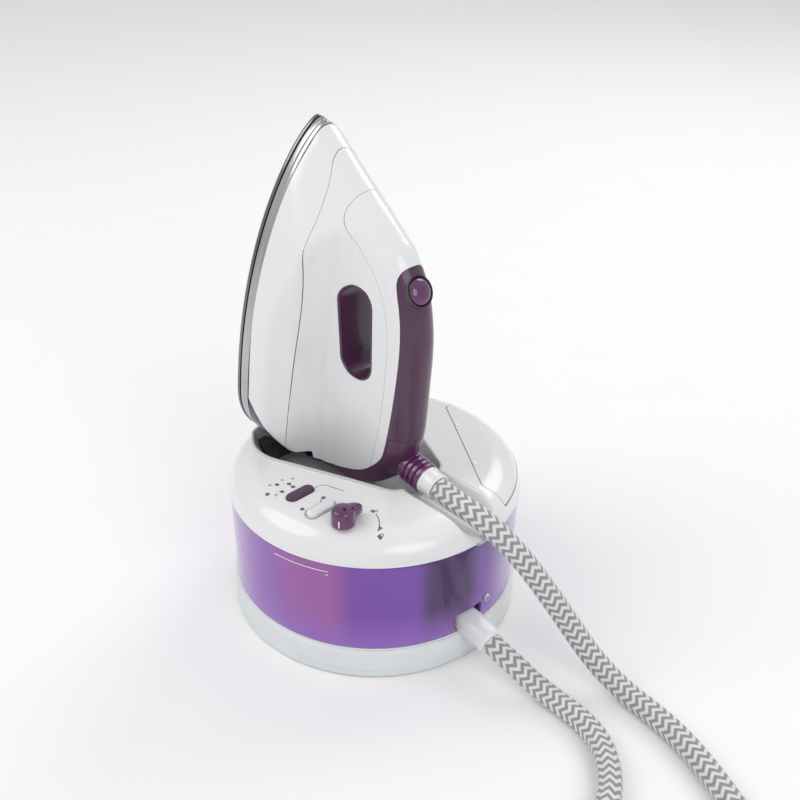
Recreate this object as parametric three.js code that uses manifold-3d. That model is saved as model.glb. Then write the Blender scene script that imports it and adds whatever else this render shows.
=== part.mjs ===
// A steam generator iron: a round base with a water tank, a boiler and a rest for the iron,
// and an iron parked on it, sole up on end, joined to the base by a braided steam hose.
// Millimetres, +Z up. The origin is the base's axis at the floor. +X points from the sole to the
// handle of the parked iron; the control panel is on the -Y side and the fill lid on the +Y side.
import * as THREE from 'three';
import { mergeVertices } from 'three/addons/utils/BufferGeometryUtils.js';
import Module from 'manifold-3d';

const wasm = await Module();
wasm.setup();

// ---------------------------------------------------------------- driving sizes
const GAP = 0.3; // left between pieces that touch
const DEG = Math.PI / 180;
const ROUND = 40; // facets round the base's big circles
const SMALL_ROUND = 12; // facets round small pins and buttons

const RIM_RADIUS = 115; // tank and housing, outside
const FOOT_OVERHANG = 2; // base plate, past the tank
const FOOT_RADIUS = RIM_RADIUS + FOOT_OVERHANG;
const FOOT_HEIGHT = 27; // top of the foot, where the tank begins
const RIM_HEIGHT = 108; // where the housing's dome begins
const DOME_RISE = 22; // from the rim to the flat of the dome
const SHOULDER_RADIUS = 26; // plan width of the dome's round shoulder
const CROWN = 2; // the dome's middle stands this much over its shoulder
const SHELL_WALL = 2.5;
const TANK_WALL = 2.5;
const TANK_INNER_RADIUS = 80; // the tank is a ring round the machine bay
const RUBBER_FOOT_RADIUS = 9;
const RUBBER_FOOT_HEIGHT = 3;
const RIM_BAND_HEIGHT = 4;

const TRAY_FLOOR = 97; // the rest tray's floor, under the iron
const TRAY_WALL = 2.4;
const TRAY_HALF_WIDE_END = 72; // half width at the sole end
const TRAY_HALF_NARROW_END = 24; // half width at the hose end
const TRAY_SOLE_END = -107;
const TRAY_REACH = 107; // the tray ends this far from the base's axis
const TRAY_DRAFT = 0.3; // the side walls lean in by this much for each mm down
const TRAY_HOSE_END = 52;
const TRAY_LIP = 2.2; // the tray's edge stands on the dome by this much
const RIB_COUNT = 3;
const RIB_PITCH = 11;
const RIB_WIDTH = 4;
const RIB_HEIGHT = 3;

const LID_ANGLE = 58.5; // the lid's middle, round from +X
const LID_CHORD = 71; // the straight hinge edge, from the base's axis
const LID_EDGE_INSET = 2.5; // from the rim to the lid's round edge
const LID_EDGE_RADIUS = RIM_RADIUS - LID_EDGE_INSET;
const LID_END_ANGLES = [19, 98];
const LID_THICKNESS = 2.6;
const LID_CLEARANCE = 0.8; // slit round the lid
const HINGE_PIN_RADIUS = 1;
const HINGE_CLEARANCE = 0.3;
const FILLER_RADIUS = 10; // the filling mouth
const FILLER_DISTANCE = 95; // from the axis: the middle of the ring tank

const POWER_BUTTON_AT = [4, -78];
const CLEAN_BUTTON_AT = [29, -79];
const PILL_LENGTH = 24;
const PILL_WIDTH = 9.5;
const BUTTON_CLEARANCE = 0.5;
const LED_AT = [[-20, -88], [-19, -77], [-7, -92], [-15, -70]];
const LED_RADIUS = 1.6;
const KNOB_AT = [53, -78];
const KNOB_RADIUS = 9;
const KNOB_HEIGHT = 14;
const KNOB_LEVER = 17; // lever tip from the knob's axis
const SHAFT_RADIUS = 3;
const LATCH_LEVEL = 106;
const LATCH_TRAVEL = 24;
const KNOB_TURN = 65; // degrees between its two stops
const LATCH_NOSE_X = -47;
const LATCH_NOSE_LEVEL = 118;

const HOSE_RADIUS = 8.75;
const SLEEVE_RADIUS = 9.6;
const EXIT_ANGLE = -3; // the base's hose exit, round from +X
const EXIT_HEIGHT = 35;
const NOTCH_HALF_WIDTH = 14; // the tank's notch round the exit
const NOTCH_TOP = 45.6;
const BASE_SLEEVE_LENGTH = 30;
const COIL_CENTRE = [424, -124];
const COIL_RADIUS = 88; // middle of the turns
const COIL_TURNS_HIGH = 2;

const IRON_TILT = 8.5; // the parked sole leans this far towards the handle
const SOLE_X = -97.5; // the sole's heel when parked
const HEEL_Z = 124;
const SOLE_LENGTH = 255; // from the heel's reference line to the tip
const SOLE_HALF_WIDTH = 63.5;
const HEEL_REACH = 6; // the sole's round heel passes the reference line by this much
const SOLE_THICKNESS = 4;
const CASTING_TOP = 13; // sole face to the top of the dark rim
const SKIRT_TOP = 46;
const IRON_WALL = 2.6;
const HEEL_COVER_WALL = 4.5;
const GRIP_RADIUS = 15.5;
const GRIP_LEVEL = 122; // sole face to the middle of the grip
const OPENING_MIDDLE = [80, 129]; // the finger opening, from the sole and from the heel
const OPENING_WIDTH = 27;
const OPENING_LENGTH = 72;
const OPENING_LEAN = -7; // its front end leans towards the sole
const LINER_WALL = 2;
const STEAM_BUTTON_AT = [117.5, 177]; // its face, from the sole and from the heel
const STEAM_BUTTON_RADIUS = 10;
const STEAM_BUTTON_SLOPE = 36; // its axis leans from the grip's outward way to the tip
const COLLAR_LEVEL = 34.5; // height of the hose collar over the heel
const COLLAR_START = 131;
const COLLAR_LENGTH = 22;
const COLLAR_RADIUS = 12;
const IRON_SLEEVE_LENGTH = 12;

// ---------------------------------------------------------------- solids
function toSolid(geometry) {
  const plain = (geometry.index ? geometry.toNonIndexed() : geometry.clone());
  plain.deleteAttribute('normal');
  plain.deleteAttribute('uv');
  const merged = mergeVertices(plain, 1e-4);
  const vertProperties = new Float32Array(merged.attributes.position.array);
  const build = (triVerts) => new wasm.Manifold(new wasm.Mesh({ numProp: 3, vertProperties, triVerts }));
  const made = build(new Uint32Array(merged.index.array));
  if (made.volume() > 0) return made;
  return build(new Uint32Array(merged.index.array).reverse());
}

function toGeometry(solid) {
  const mesh = solid.getMesh();
  const geometry = new THREE.BufferGeometry();
  const points = new Float32Array(mesh.numVert * 3);
  for (let i = 0; i < mesh.numVert; i++)
    for (let k = 0; k < 3; k++) points[3 * i + k] = mesh.vertProperties[mesh.numProp * i + k];
  geometry.setAttribute('position', new THREE.BufferAttribute(points, 3));
  geometry.setIndex(new THREE.BufferAttribute(new Uint32Array(mesh.triVerts), 1));
  return geometry;
}

const join = (first, ...rest) => toGeometry(rest.reduce((s, g) => s.add(toSolid(g)), toSolid(first)));
const cut = (first, ...rest) => toGeometry(rest.reduce((s, g) => s.subtract(toSolid(g)), toSolid(first)));
const common = (first, ...rest) => toGeometry(rest.reduce((s, g) => s.intersect(toSolid(g)), toSolid(first)));

// The geometry moved, as a copy.
const shifted = (geometry, x, y, z) => geometry.clone().translate(x, y, z);

function box(x0, x1, y0, y1, z0, z1) {
  return new THREE.BoxGeometry(x1 - x0, y1 - y0, z1 - z0)
    .translate((x0 + x1) / 2, (y0 + y1) / 2, (z0 + z1) / 2);
}

// An upright cylinder from z0 to z1.
function rod(radius, z0, z1, x = 0, y = 0, facets = SMALL_ROUND, topRadius = radius) {
  return new THREE.CylinderGeometry(topRadius, radius, z1 - z0, facets)
    .rotateX(Math.PI / 2).translate(x, y, (z0 + z1) / 2);
}

// A cylinder between two points.
function rodBetween(from, to, radius, facets = SMALL_ROUND) {
  const a = new THREE.Vector3(...from), b = new THREE.Vector3(...to);
  const turn = new THREE.Quaternion().setFromUnitVectors(
    new THREE.Vector3(0, 1, 0), b.clone().sub(a).normalize());
  return new THREE.CylinderGeometry(radius, radius, a.distanceTo(b), facets)
    .applyQuaternion(turn).translate(...a.add(b).multiplyScalar(0.5).toArray());
}

// A closed profile of [radius, height] points turned round +Z.
function turned(profile, facets = ROUND) {
  const points = profile.map(([r, z]) => new THREE.Vector2(r, z));
  if (profile[0][0] > 0) points.push(points[0].clone());
  return new THREE.LatheGeometry(points, facets).rotateX(Math.PI / 2);
}

function ring(inner, outer, z0, z1, facets = ROUND) {
  return turned([[inner, z0], [outer, z0], [outer, z1], [inner, z1]], facets);
}

function shapeOf(points) {
  return new THREE.Shape(points.map(([x, y]) => new THREE.Vector2(x, y)));
}

// A plan outline stood up from z0 to z1.
function upright(shape, z0, z1, curveSegments = 12) {
  return new THREE.ExtrudeGeometry(shape, { depth: z1 - z0, bevelEnabled: false, curveSegments })
    .translate(0, 0, z0);
}

function pillShape(length, width) {
  const r = width / 2, half = length / 2 - r;
  const shape = new THREE.Shape();
  shape.absarc(0, half, r, 0, Math.PI);
  shape.absarc(0, -half, r, Math.PI, 2 * Math.PI);
  shape.closePath();
  return shape;
}

// A round tube along a list of points.
function tube(points, radius, steps, sides) {
  const path = new THREE.CatmullRomCurve3(points.map((p) => new THREE.Vector3(...p)), false, 'centripetal');
  const section = new THREE.Shape();
  for (let i = 0; i < sides; i++) {
    const x = radius * Math.cos((2 * Math.PI * i) / sides), y = radius * Math.sin((2 * Math.PI * i) / sides);
    if (i) section.lineTo(x, y);
    else section.moveTo(x, y);
  }
  return new THREE.ExtrudeGeometry(section, { steps, bevelEnabled: false, extrudePath: path });
}

const root = new THREE.Group();
const iron = new THREE.Group();

const PLASTIC = {
  white: [0xf4f4f5, 0.28, 0], trim: [0x4b2748, 0.3, 0], bright: [0x5c1f62, 0.18, 0],
  tank: [0x7b4fb5, 0.25, 0], foot: [0xd9d8dc, 0.35, 0], grey: [0xb9bbbe, 0.45, 0],
  dark: [0x444548, 0.5, 0], rubber: [0x3a3a3c, 0.85, 0], board: [0x1f6b3a, 0.6, 0],
  silicone: [0xd8d2c8, 0.6, 0], lamp: [0xc8e6c9, 0.2, 0], braid: [0xd2d2d4, 0.9, 0],
};
const METAL = {
  sole: [0xb5b7ba, 0.25, 1], chrome: [0x55575b, 0.22, 1], steel: [0xa9abae, 0.35, 1],
  aluminium: [0xc3c5c8, 0.5, 1], brass: [0xc2a25a, 0.35, 1],
};

function add(name, geometry, [color, roughness, metalness], group = root) {
  const mesh = new THREE.Mesh(geometry, new THREE.MeshStandardMaterial({ color, roughness, metalness }));
  mesh.name = name;
  group.add(mesh);
}

// ---------------------------------------------------------------- the dome's shape
const DOME_TOP = RIM_HEIGHT + DOME_RISE;
const SHOULDER_START = RIM_RADIUS - SHOULDER_RADIUS;
const CROWN_TOP = DOME_TOP + CROWN;

// Height of the dome's outside at a distance from the axis.
function domeHeight(radius) {
  if (radius >= SHOULDER_START) {
    const share = Math.min(1, (radius - SHOULDER_START) / SHOULDER_RADIUS);
    return RIM_HEIGHT + DOME_RISE * Math.sqrt(1 - share * share);
  }
  return DOME_TOP + CROWN * (1 - radius / SHOULDER_START);
}

// The solid under the dome, drawn in by inset, down to bottom.
function domeSolid(inset, bottom, outerRadius = RIM_RADIUS - inset) {
  const steps = 4;
  const profile = [[0, bottom], [outerRadius, bottom]];
  for (let i = 0; i <= steps; i++) {
    const angle = (i / steps) * (Math.PI / 2);
    const radius = SHOULDER_START + (SHOULDER_RADIUS - inset) * Math.cos(angle);
    profile.push([Math.min(radius, outerRadius), RIM_HEIGHT + (DOME_RISE - inset) * Math.sin(angle)]);
  }
  profile.push([0, CROWN_TOP - inset]);
  return turned(profile);
}

// ---------------------------------------------------------------- base: hose exit
const exitTurn = EXIT_ANGLE * DEG;
const EXIT_FACE = RIM_RADIUS - 14; // outer face of the gland's flange, inside the notch
const BASE_SLEEVE_START = EXIT_FACE + 1.5;
const BASE_SLEEVE_END = RIM_RADIUS + BASE_SLEEVE_LENGTH - 4;
const SLEEVE_DIP = 5; // the sleeve's end hangs this far under the exit
const baseSleevePoint = (along, dip) => {
  const p = new THREE.Vector3(along, 0, EXIT_HEIGHT - dip).applyAxisAngle(new THREE.Vector3(0, 0, 1), exitTurn);
  return p.toArray();
};
const SLEEVE_ROUTE = [baseSleevePoint(BASE_SLEEVE_START, 0), baseSleevePoint(BASE_SLEEVE_START + 12, 0.8),
  baseSleevePoint(BASE_SLEEVE_END - 10, SLEEVE_DIP * 0.55), baseSleevePoint(BASE_SLEEVE_END, SLEEVE_DIP)];
add('base_hose_sleeve', tube(SLEEVE_ROUTE, SLEEVE_RADIUS, 5, 16), PLASTIC.white);

// ---------------------------------------------------------------- base: foot and tank
const INLET_ANGLE = -35; // the mains cord's gland, round from -X
const INLET_HEIGHT = 16;
const INLET_RADIUS = 5.5;
// A rod along the mains cord's way, between two distances from the base's axis.
const inletRod = (near, far, radius) => rodBetween([-near, 0, INLET_HEIGHT], [-far, 0, INLET_HEIGHT], radius, 16)
  .rotateZ(INLET_ANGLE * DEG);
const FOOT_FLOOR = RUBBER_FOOT_HEIGHT;
const FOOT_STEP = FOOT_FLOOR + 6;
const BASE_FLOOR_TOP = FOOT_FLOOR + 3;

function basePlate() {
  const shell = turned([
    [0, FOOT_FLOOR], [FOOT_RADIUS - 5, FOOT_FLOOR], [FOOT_RADIUS - 2.5, FOOT_STEP], [FOOT_RADIUS, FOOT_STEP + 2],
    [FOOT_RADIUS, FOOT_HEIGHT - 2], [FOOT_RADIUS - 1.5, FOOT_HEIGHT], [RIM_RADIUS - 6, FOOT_HEIGHT],
    [RIM_RADIUS - 6, BASE_FLOOR_TOP], [0, BASE_FLOOR_TOP],
  ]);
  const vents = [];
  for (let i = -3; i <= 3; i++) vents.push(box(i * 10 - 2, i * 10 + 2, -18, 18, FOOT_FLOOR - 1, BASE_FLOOR_TOP + 1));
  const sleeveGroove = rodBetween(SLEEVE_ROUTE[0], SLEEVE_ROUTE[3], SLEEVE_RADIUS + 1.5, 20);
  return cut(shell, ...vents, sleeveGroove, inletRod(RIM_RADIUS - 12, FOOT_RADIUS + 10, INLET_RADIUS + GAP));
}
add('base_plate', basePlate(), PLASTIC.foot);

const FOOT_PLACE_RADIUS = 92;
for (let i = 0; i < 4; i++) {
  const angle = (45 + 90 * i) * DEG;
  add('rubber_foot_' + (i + 1), rod(RUBBER_FOOT_RADIUS, 0, RUBBER_FOOT_HEIGHT - GAP,
    FOOT_PLACE_RADIUS * Math.cos(angle), FOOT_PLACE_RADIUS * Math.sin(angle)), PLASTIC.rubber);
}

const TANK_BOTTOM = FOOT_HEIGHT + GAP;
const TANK_TOP = RIM_HEIGHT - RIM_BAND_HEIGHT - GAP;
const NOTCH_START = TANK_INNER_RADIUS - 5;

// The slot that the hose exit stands in, grown by more on each side.
function notch(more) {
  return box(NOTCH_START - more, RIM_RADIUS + 5, -NOTCH_HALF_WIDTH - more, NOTCH_HALF_WIDTH + more,
    TANK_BOTTOM - 5, NOTCH_TOP + more).rotateZ(EXIT_ANGLE * DEG);
}

function waterTank() {
  const outside = ring(TANK_INNER_RADIUS, RIM_RADIUS - 0.5, TANK_BOTTOM, TANK_TOP);
  const water = ring(TANK_INNER_RADIUS + TANK_WALL, RIM_RADIUS - 0.5 - TANK_WALL,
    TANK_BOTTOM + TANK_WALL, TANK_TOP + 1);
  const trayRecess = (more) => trayRoom(TRAY_WALL + GAP + more, TRAY_FLOOR - TRAY_WALL - GAP - more, TANK_TOP + 5);
  return cut(outside, cut(water, notch(TANK_WALL), trayRecess(TANK_WALL)), notch(0), trayRecess(0));
}
add('water_tank', waterTank(), PLASTIC.tank);

const SEAL_DEPTH = 1.6;
add('rim_band', ring(RIM_RADIUS - 5, RIM_RADIUS + 0.4, RIM_HEIGHT - RIM_BAND_HEIGHT, RIM_HEIGHT - GAP), PLASTIC.white);

// The screw beside the hose exit, its head on the tank's outside.
const SCREW_ANGLE = (EXIT_ANGLE + 10) * DEG;
function tankScrew() {
  const head = rod(3.2, 0, 1.6, 0, 0, 16, 2.6);
  const cross = join(box(-2, 2, -0.5, 0.5, 0.9, 2), box(-0.5, 0.5, -2, 2, 0.9, 2));
  return cut(head, cross).rotateY(Math.PI / 2)
    .translate(RIM_RADIUS - 0.5 + GAP, 0, NOTCH_TOP + 0.5).rotateZ(SCREW_ANGLE);
}
add('tank_screw', tankScrew(), METAL.steel);

// ---------------------------------------------------------------- base: housing, tray and lid
// The tray's room, grown by more on each side, narrower at the floor than at the dome.
function trayRoom(more, from, to) {
  const wide = TRAY_HALF_WIDE_END + more, narrow = TRAY_HALF_NARROW_END + more;
  const plan = shapeOf([[TRAY_SOLE_END - 20, -wide], [-62, -wide], [TRAY_HOSE_END + more, -narrow],
    [TRAY_HOSE_END + more, narrow], [-62, wide], [TRAY_SOLE_END - 20, wide]]);
  const geometry = upright(plan, from, to);
  const place = geometry.attributes.position;
  for (let i = 0; i < place.count; i++) {
    const lean = TRAY_DRAFT * (DOME_TOP - place.getZ(i));
    place.setY(i, place.getY(i) - Math.sign(place.getY(i)) * lean);
  }
  return common(geometry, rod(TRAY_REACH + more, from - 1, to + 1, 0, 0, ROUND));
}

const HOUSING_HOLE = TRAY_WALL + GAP;
const SCOOP_RADIUS = 17; // the hollow under the hose, from the tray to the rim
const SCOOP_HEIGHT = DOME_TOP + 7;

// The hollow that the hose passes through.
function scoop(more) {
  return rodBetween([TRAY_HOSE_END - 12, 0, SCOOP_HEIGHT + 1], [RIM_RADIUS + 12, 7, SCOOP_HEIGHT - 9], SCOOP_RADIUS + more, 24);
}

// The lid's plan, shrunk by less on each side.
function lidOutline(less) {
  const [from, to] = LID_END_ANGLES.map((angle) => angle * DEG);
  const slip = less / LID_EDGE_RADIUS;
  const inner = (angle) => (LID_CHORD + less) / Math.cos(angle - LID_ANGLE * DEG);
  const radius = LID_EDGE_RADIUS - less;
  const shape = new THREE.Shape();
  shape.moveTo(inner(from + slip) * Math.cos(from + slip), inner(from + slip) * Math.sin(from + slip));
  shape.lineTo(radius * Math.cos(from + slip), radius * Math.sin(from + slip));
  shape.absarc(0, 0, radius, from + slip, to - slip);
  shape.lineTo(inner(to - slip) * Math.cos(to - slip), inner(to - slip) * Math.sin(to - slip));
  shape.closePath();
  return shape;
}

// The way of the lid's finger tab through the housing's edge.
const tabWay = (half, from, to) => common(ring(LID_EDGE_RADIUS - 12, RIM_RADIUS + 2.2, from, to),
  box(LID_EDGE_RADIUS - 14, RIM_RADIUS + 4, -half, half, from - 2, to + 2).rotateZ(LID_ANGLE * DEG));

const pillAt = ([x, y], length, width, z0, z1) =>
  upright(pillShape(length, width), z0, z1, 8).translate(x, y, 0);

function topHousing() {
  const roof = cut(domeSolid(0, RIM_HEIGHT), domeSolid(SHELL_WALL, RIM_HEIGHT - 1), scoop(0));
  // The hollow's own floor, so that the housing is whole under the hose.
  const gutter = common(domeSolid(0, RIM_HEIGHT), cut(scoop(SHELL_WALL), scoop(0)),
    box(TRAY_HOSE_END + HOUSING_HOLE, RIM_RADIUS, -40, 40, RIM_HEIGHT, CROWN_TOP));
  return cut(join(roof, gutter),
    trayRoom(HOUSING_HOLE, TRAY_FLOOR - 20, CROWN_TOP + 5),
    upright(lidOutline(0), TRAY_FLOOR, CROWN_TOP + 5, 16),
    tabWay(6 + LID_CLEARANCE, RIM_HEIGHT + 2.4, CROWN_TOP),
    pillAt(POWER_BUTTON_AT, PILL_LENGTH + 2 * BUTTON_CLEARANCE, PILL_WIDTH + 2 * BUTTON_CLEARANCE, 100, 140),
    pillAt(CLEAN_BUTTON_AT, PILL_LENGTH + 2 * BUTTON_CLEARANCE, PILL_WIDTH + 2 * BUTTON_CLEARANCE, 100, 140),
    rod(SHAFT_RADIUS + BUTTON_CLEARANCE, 100, 140, ...KNOB_AT),
    ...LED_AT.map(([x, y]) => rod(LED_RADIUS + GAP, 100, 140, x, y, 8)));
}
add('top_housing', topHousing(), PLASTIC.white);

function restTray() {
  const lipTop = domeSolid(-TRAY_LIP, TRAY_FLOOR - TRAY_WALL, RIM_RADIUS - 2);
  const outside = common(trayRoom(TRAY_WALL, TRAY_FLOOR - TRAY_WALL, CROWN_TOP + 10), lipTop);
  const ribs = [];
  for (let i = 0; i < RIB_COUNT; i++) {
    const x = TRAY_HOSE_END - 14 - i * RIB_PITCH;
    const half = TRAY_HALF_NARROW_END - TRAY_DRAFT * (DOME_TOP - TRAY_FLOOR) - 1;
    ribs.push(box(x - RIB_WIDTH / 2, x + RIB_WIDTH / 2, -half, half, TRAY_FLOOR - 1, TRAY_FLOOR + RIB_HEIGHT));
  }
  const latchSlot = box(LATCH_NOSE_X - 7.5, LATCH_NOSE_X + 7.5, -TRAY_HALF_WIDE_END - 5, -30, LATCH_LEVEL - 1,
    LATCH_NOSE_LEVEL + 8);
  return cut(join(cut(outside, trayRoom(0, TRAY_FLOOR, CROWN_TOP + 20)), ...ribs), latchSlot, scoop(0));
}
add('rest_tray', restTray(), PLASTIC.grey);

// Two dark prongs on a cross bar, which hold the sole's heel.
const PRONG_Y = 46;
function heelRest() {
  const bar = box(SOLE_X + 5, SOLE_X + 13, -PRONG_Y + 4, PRONG_Y - 4, TRAY_FLOOR + GAP, HEEL_Z - 8.3);
  const outline = shapeOf([[SOLE_X + 4, TRAY_FLOOR + GAP], [SOLE_X + 20, TRAY_FLOOR + GAP],
    [SOLE_X + 20, HEEL_Z - 15], [SOLE_X + 12, HEEL_Z - 9], [SOLE_X + 4, HEEL_Z - 6.5]]);
  const prong = (side) => upright(outline, -5, 5).rotateX(Math.PI / 2).translate(0, side * (PRONG_Y - 5), 0);
  return join(bar, prong(-1), prong(1));
}
add('heel_rest', heelRest(), PLASTIC.dark);

const hingeWay = [-Math.sin(LID_ANGLE * DEG), Math.cos(LID_ANGLE * DEG)];
const HINGE_HEIGHT = domeHeight(LID_CHORD) - LID_THICKNESS / 2;
const HINGE_DISTANCE = LID_CHORD + LID_CLEARANCE + 2;
const HINGE_HALF = 26;
const BARREL_RADIUS = HINGE_PIN_RADIUS + HINGE_CLEARANCE + 0.7;
const EAR_START = HINGE_HALF + 1, EAR_END = HINGE_HALF + 4;

// A point on the hinge line, along is measured from its middle.
function onHinge(along, out = 0, up = 0) {
  const distance = HINGE_DISTANCE + out;
  return [distance * Math.cos(LID_ANGLE * DEG) + along * hingeWay[0],
    distance * Math.sin(LID_ANGLE * DEG) + along * hingeWay[1], HINGE_HEIGHT + up];
}

// A piece made at the axis, its +X outward, moved to a place on the hinge line.
const atHinge = (along, geometry) => geometry.rotateZ(LID_ANGLE * DEG).translate(...onHinge(along).slice(0, 2), 0);

function fillLid() {
  const skin = cut(domeSolid(0, RIM_HEIGHT + 1), domeSolid(LID_THICKNESS, RIM_HEIGHT - 1));
  const plate = common(skin, upright(lidOutline(LID_CLEARANCE), RIM_HEIGHT - 2, CROWN_TOP + 5, 16));
  const tab = tabWay(6, RIM_HEIGHT + 3, RIM_HEIGHT + 6);
  const barrel = rodBetween(onHinge(-HINGE_HALF), onHinge(HINGE_HALF), BARREL_RADIUS, 10);
  const bore = rodBetween(onHinge(-HINGE_HALF - 5), onHinge(HINGE_HALF + 5), HINGE_PIN_RADIUS + HINGE_CLEARANCE, 10);
  const earRoom = [-1, 1].map((side) => atHinge(side * (EAR_START + EAR_END) / 2,
    box(-4, 3, -2.1, 2.1, HINGE_HEIGHT - 10, HINGE_HEIGHT + 10)));
  return cut(join(cut(plate, ...earRoom), tab, barrel), bore);
}
add('fill_lid', fillLid(), PLASTIC.white);
add('lid_hinge_pin', rodBetween(onHinge(-EAR_END), onHinge(EAR_END), HINGE_PIN_RADIUS, 8), METAL.steel);

// The sunk pan under the lid, with the mouth that water is poured in through and the ears of the hinge.
const PAN_LEVEL = RIM_HEIGHT - 1.5;
function fillerPan() {
  const plan = upright(lidOutline(-2), PAN_LEVEL - 2.4, PAN_LEVEL, 16);
  const floor = common(plan, ring(60, RIM_RADIUS - 5 - GAP, PAN_LEVEL - 3, PAN_LEVEL + 1));
  const middle = [FILLER_DISTANCE * Math.cos(LID_ANGLE * DEG), FILLER_DISTANCE * Math.sin(LID_ANGLE * DEG)];
  const neck = rod(FILLER_RADIUS + 2, PAN_LEVEL - 12, PAN_LEVEL + 2, ...middle, 28);
  const mouth = rod(FILLER_RADIUS, PAN_LEVEL - 14, PAN_LEVEL + 4, ...middle, 28);
  const ears = [-1, 1].map((side) => rodBetween(onHinge(side * EAR_START), onHinge(side * EAR_END), 2, 10));
  const posts = [-1, 1].map((side) => atHinge(side * (EAR_START + EAR_END) / 2,
    box(-1.8, 1.8, -1.5, 1.5, PAN_LEVEL - 1, HINGE_HEIGHT)));
  const pinHole = rodBetween(onHinge(-HINGE_HALF - 9), onHinge(HINGE_HALF + 9), HINGE_PIN_RADIUS + GAP, 10);
  return cut(join(floor, neck, ...ears, ...posts), mouth, pinHole);
}
add('filler_pan', fillerPan(), PLASTIC.white);

function fillerSeal() {
  const middle = [FILLER_DISTANCE * Math.cos(LID_ANGLE * DEG), FILLER_DISTANCE * Math.sin(LID_ANGLE * DEG)];
  return ring(FILLER_RADIUS + 2 + GAP, FILLER_RADIUS + 4.5, PAN_LEVEL + GAP, PAN_LEVEL + SEAL_DEPTH, 28)
    .translate(...middle, 0);
}
add('filler_seal', fillerSeal(), PLASTIC.rubber);

// ---------------------------------------------------------------- base: controls
const BOARD_LEVEL = 114;
const BUTTON_PROUD = 2; // over the dome
const BUTTON_STROKE = 1.2;

function panelButton(at) {
  const top = domeHeight(Math.hypot(...at)) + BUTTON_PROUD;
  const cap = pillAt(at, PILL_LENGTH, PILL_WIDTH, top - 7, top);
  const stem = rod(2, BOARD_LEVEL + 3.5 + BUTTON_STROKE, top - 6, ...at, 12);
  return join(cap, stem);
}
add('power_button', panelButton(POWER_BUTTON_AT), PLASTIC.bright);
add('clean_button', panelButton(CLEAN_BUTTON_AT), PLASTIC.white);

LED_AT.forEach(([x, y], i) => {
  const top = domeHeight(Math.hypot(x, y)) + 0.2;
  add('led_' + (i + 1), rod(LED_RADIUS, top - 5, top, x, y, 8), PLASTIC.lamp);
});

// The control board with a tact switch under each button.
function controlBoard() {
  const plate = box(-36, 36, -94, -64, BOARD_LEVEL, BOARD_LEVEL + 1.6);
  const switches = [POWER_BUTTON_AT, CLEAN_BUTTON_AT].map(([x, y]) =>
    box(x - 3, x + 3, y - 3, y + 3, BOARD_LEVEL + 1, BOARD_LEVEL + 3.5));
  const chip = box(-22, -10, -88, -76, BOARD_LEVEL + 1, BOARD_LEVEL + 3.4);
  const insideTank = domeSolid(SHELL_WALL + 2, BOARD_LEVEL - 5);
  return cut(common(join(plate, ...switches, chip), insideTank),
    trayRoom(TRAY_WALL + 1, 90, 140));
}
add('control_board', controlBoard(), PLASTIC.board);

const KNOB_BASE = domeHeight(Math.hypot(...KNOB_AT)) + 0.8;
const KNOB_TOP = KNOB_BASE + KNOB_HEIGHT;
function lockKnob() {
  const drum = rod(KNOB_RADIUS, KNOB_BASE, KNOB_TOP, 0, 0, 28, KNOB_RADIUS - 0.6);
  const lever = upright(shapeOf([[-6, 0], [-4.2, KNOB_LEVER], [4.2, KNOB_LEVER], [6, 0]]), KNOB_BASE + 2, KNOB_TOP);
  const bore = rod(SHAFT_RADIUS + GAP, KNOB_BASE - 1, KNOB_TOP - 4);
  return cut(join(drum, lever), bore).translate(...KNOB_AT, 0);
}
add('lock_knob', lockKnob(), PLASTIC.bright);

// The shaft's crank, its pin running in a slot of the latch, turns the knob's turn into the latch's travel.
const CRANK_RADIUS = LATCH_TRAVEL / (2 * Math.sin((KNOB_TURN / 2) * DEG));
const CRANK_ANGLE = (180 + KNOB_TURN / 2) * DEG;
const PIN_RADIUS = 2;
const pinAt = [KNOB_AT[0] + CRANK_RADIUS * Math.cos(CRANK_ANGLE), KNOB_AT[1] + CRANK_RADIUS * Math.sin(CRANK_ANGLE)];
function knobShaft() {
  const shaft = rod(SHAFT_RADIUS, LATCH_LEVEL, KNOB_TOP - 4 - GAP);
  const arm = box(0, CRANK_RADIUS + 3, -3, 3, LATCH_LEVEL + 4.6, LATCH_LEVEL + 7).rotateZ(CRANK_ANGLE);
  const pin = rod(PIN_RADIUS, LATCH_LEVEL - 1, LATCH_LEVEL + 5).translate(CRANK_RADIUS, 0, 0).rotateZ(CRANK_ANGLE);
  return join(shaft, arm, pin).translate(...KNOB_AT, 0);
}
add('knob_shaft', knobShaft(), METAL.steel);

// The latch plate that the crank drives; its nose enters the iron's heel.
function lockLatch() {
  const [x, y] = pinAt;
  const run = CRANK_RADIUS * (1 - Math.cos((KNOB_TURN / 2) * DEG)); // how far the pin moves along the slot
  const slot = box(x - run - PIN_RADIUS - 1, x + PIN_RADIUS + 1, y - PIN_RADIUS - 1.6, y + PIN_RADIUS + 1.6,
    LATCH_LEVEL - 1, LATCH_LEVEL + 5);
  const plate = box(LATCH_NOSE_X - 5, x + PIN_RADIUS + 4, y - 6, y + 6, LATCH_LEVEL, LATCH_LEVEL + 4);
  const riserFront = -TRAY_HALF_WIDE_END + 8;
  const arm = box(LATCH_NOSE_X - 5, LATCH_NOSE_X + 5, y - 6, riserFront, LATCH_LEVEL, LATCH_LEVEL + 4);
  const riser = box(LATCH_NOSE_X - 5, LATCH_NOSE_X + 5, riserFront - 6, riserFront, LATCH_LEVEL + 2, LATCH_NOSE_LEVEL + 6);
  const nose = box(LATCH_NOSE_X - 4, LATCH_NOSE_X + 4, riserFront - 1, riserFront + 6, LATCH_NOSE_LEVEL, LATCH_NOSE_LEVEL + 6);
  return cut(join(plate, arm, riser, nose), slot);
}
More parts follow.
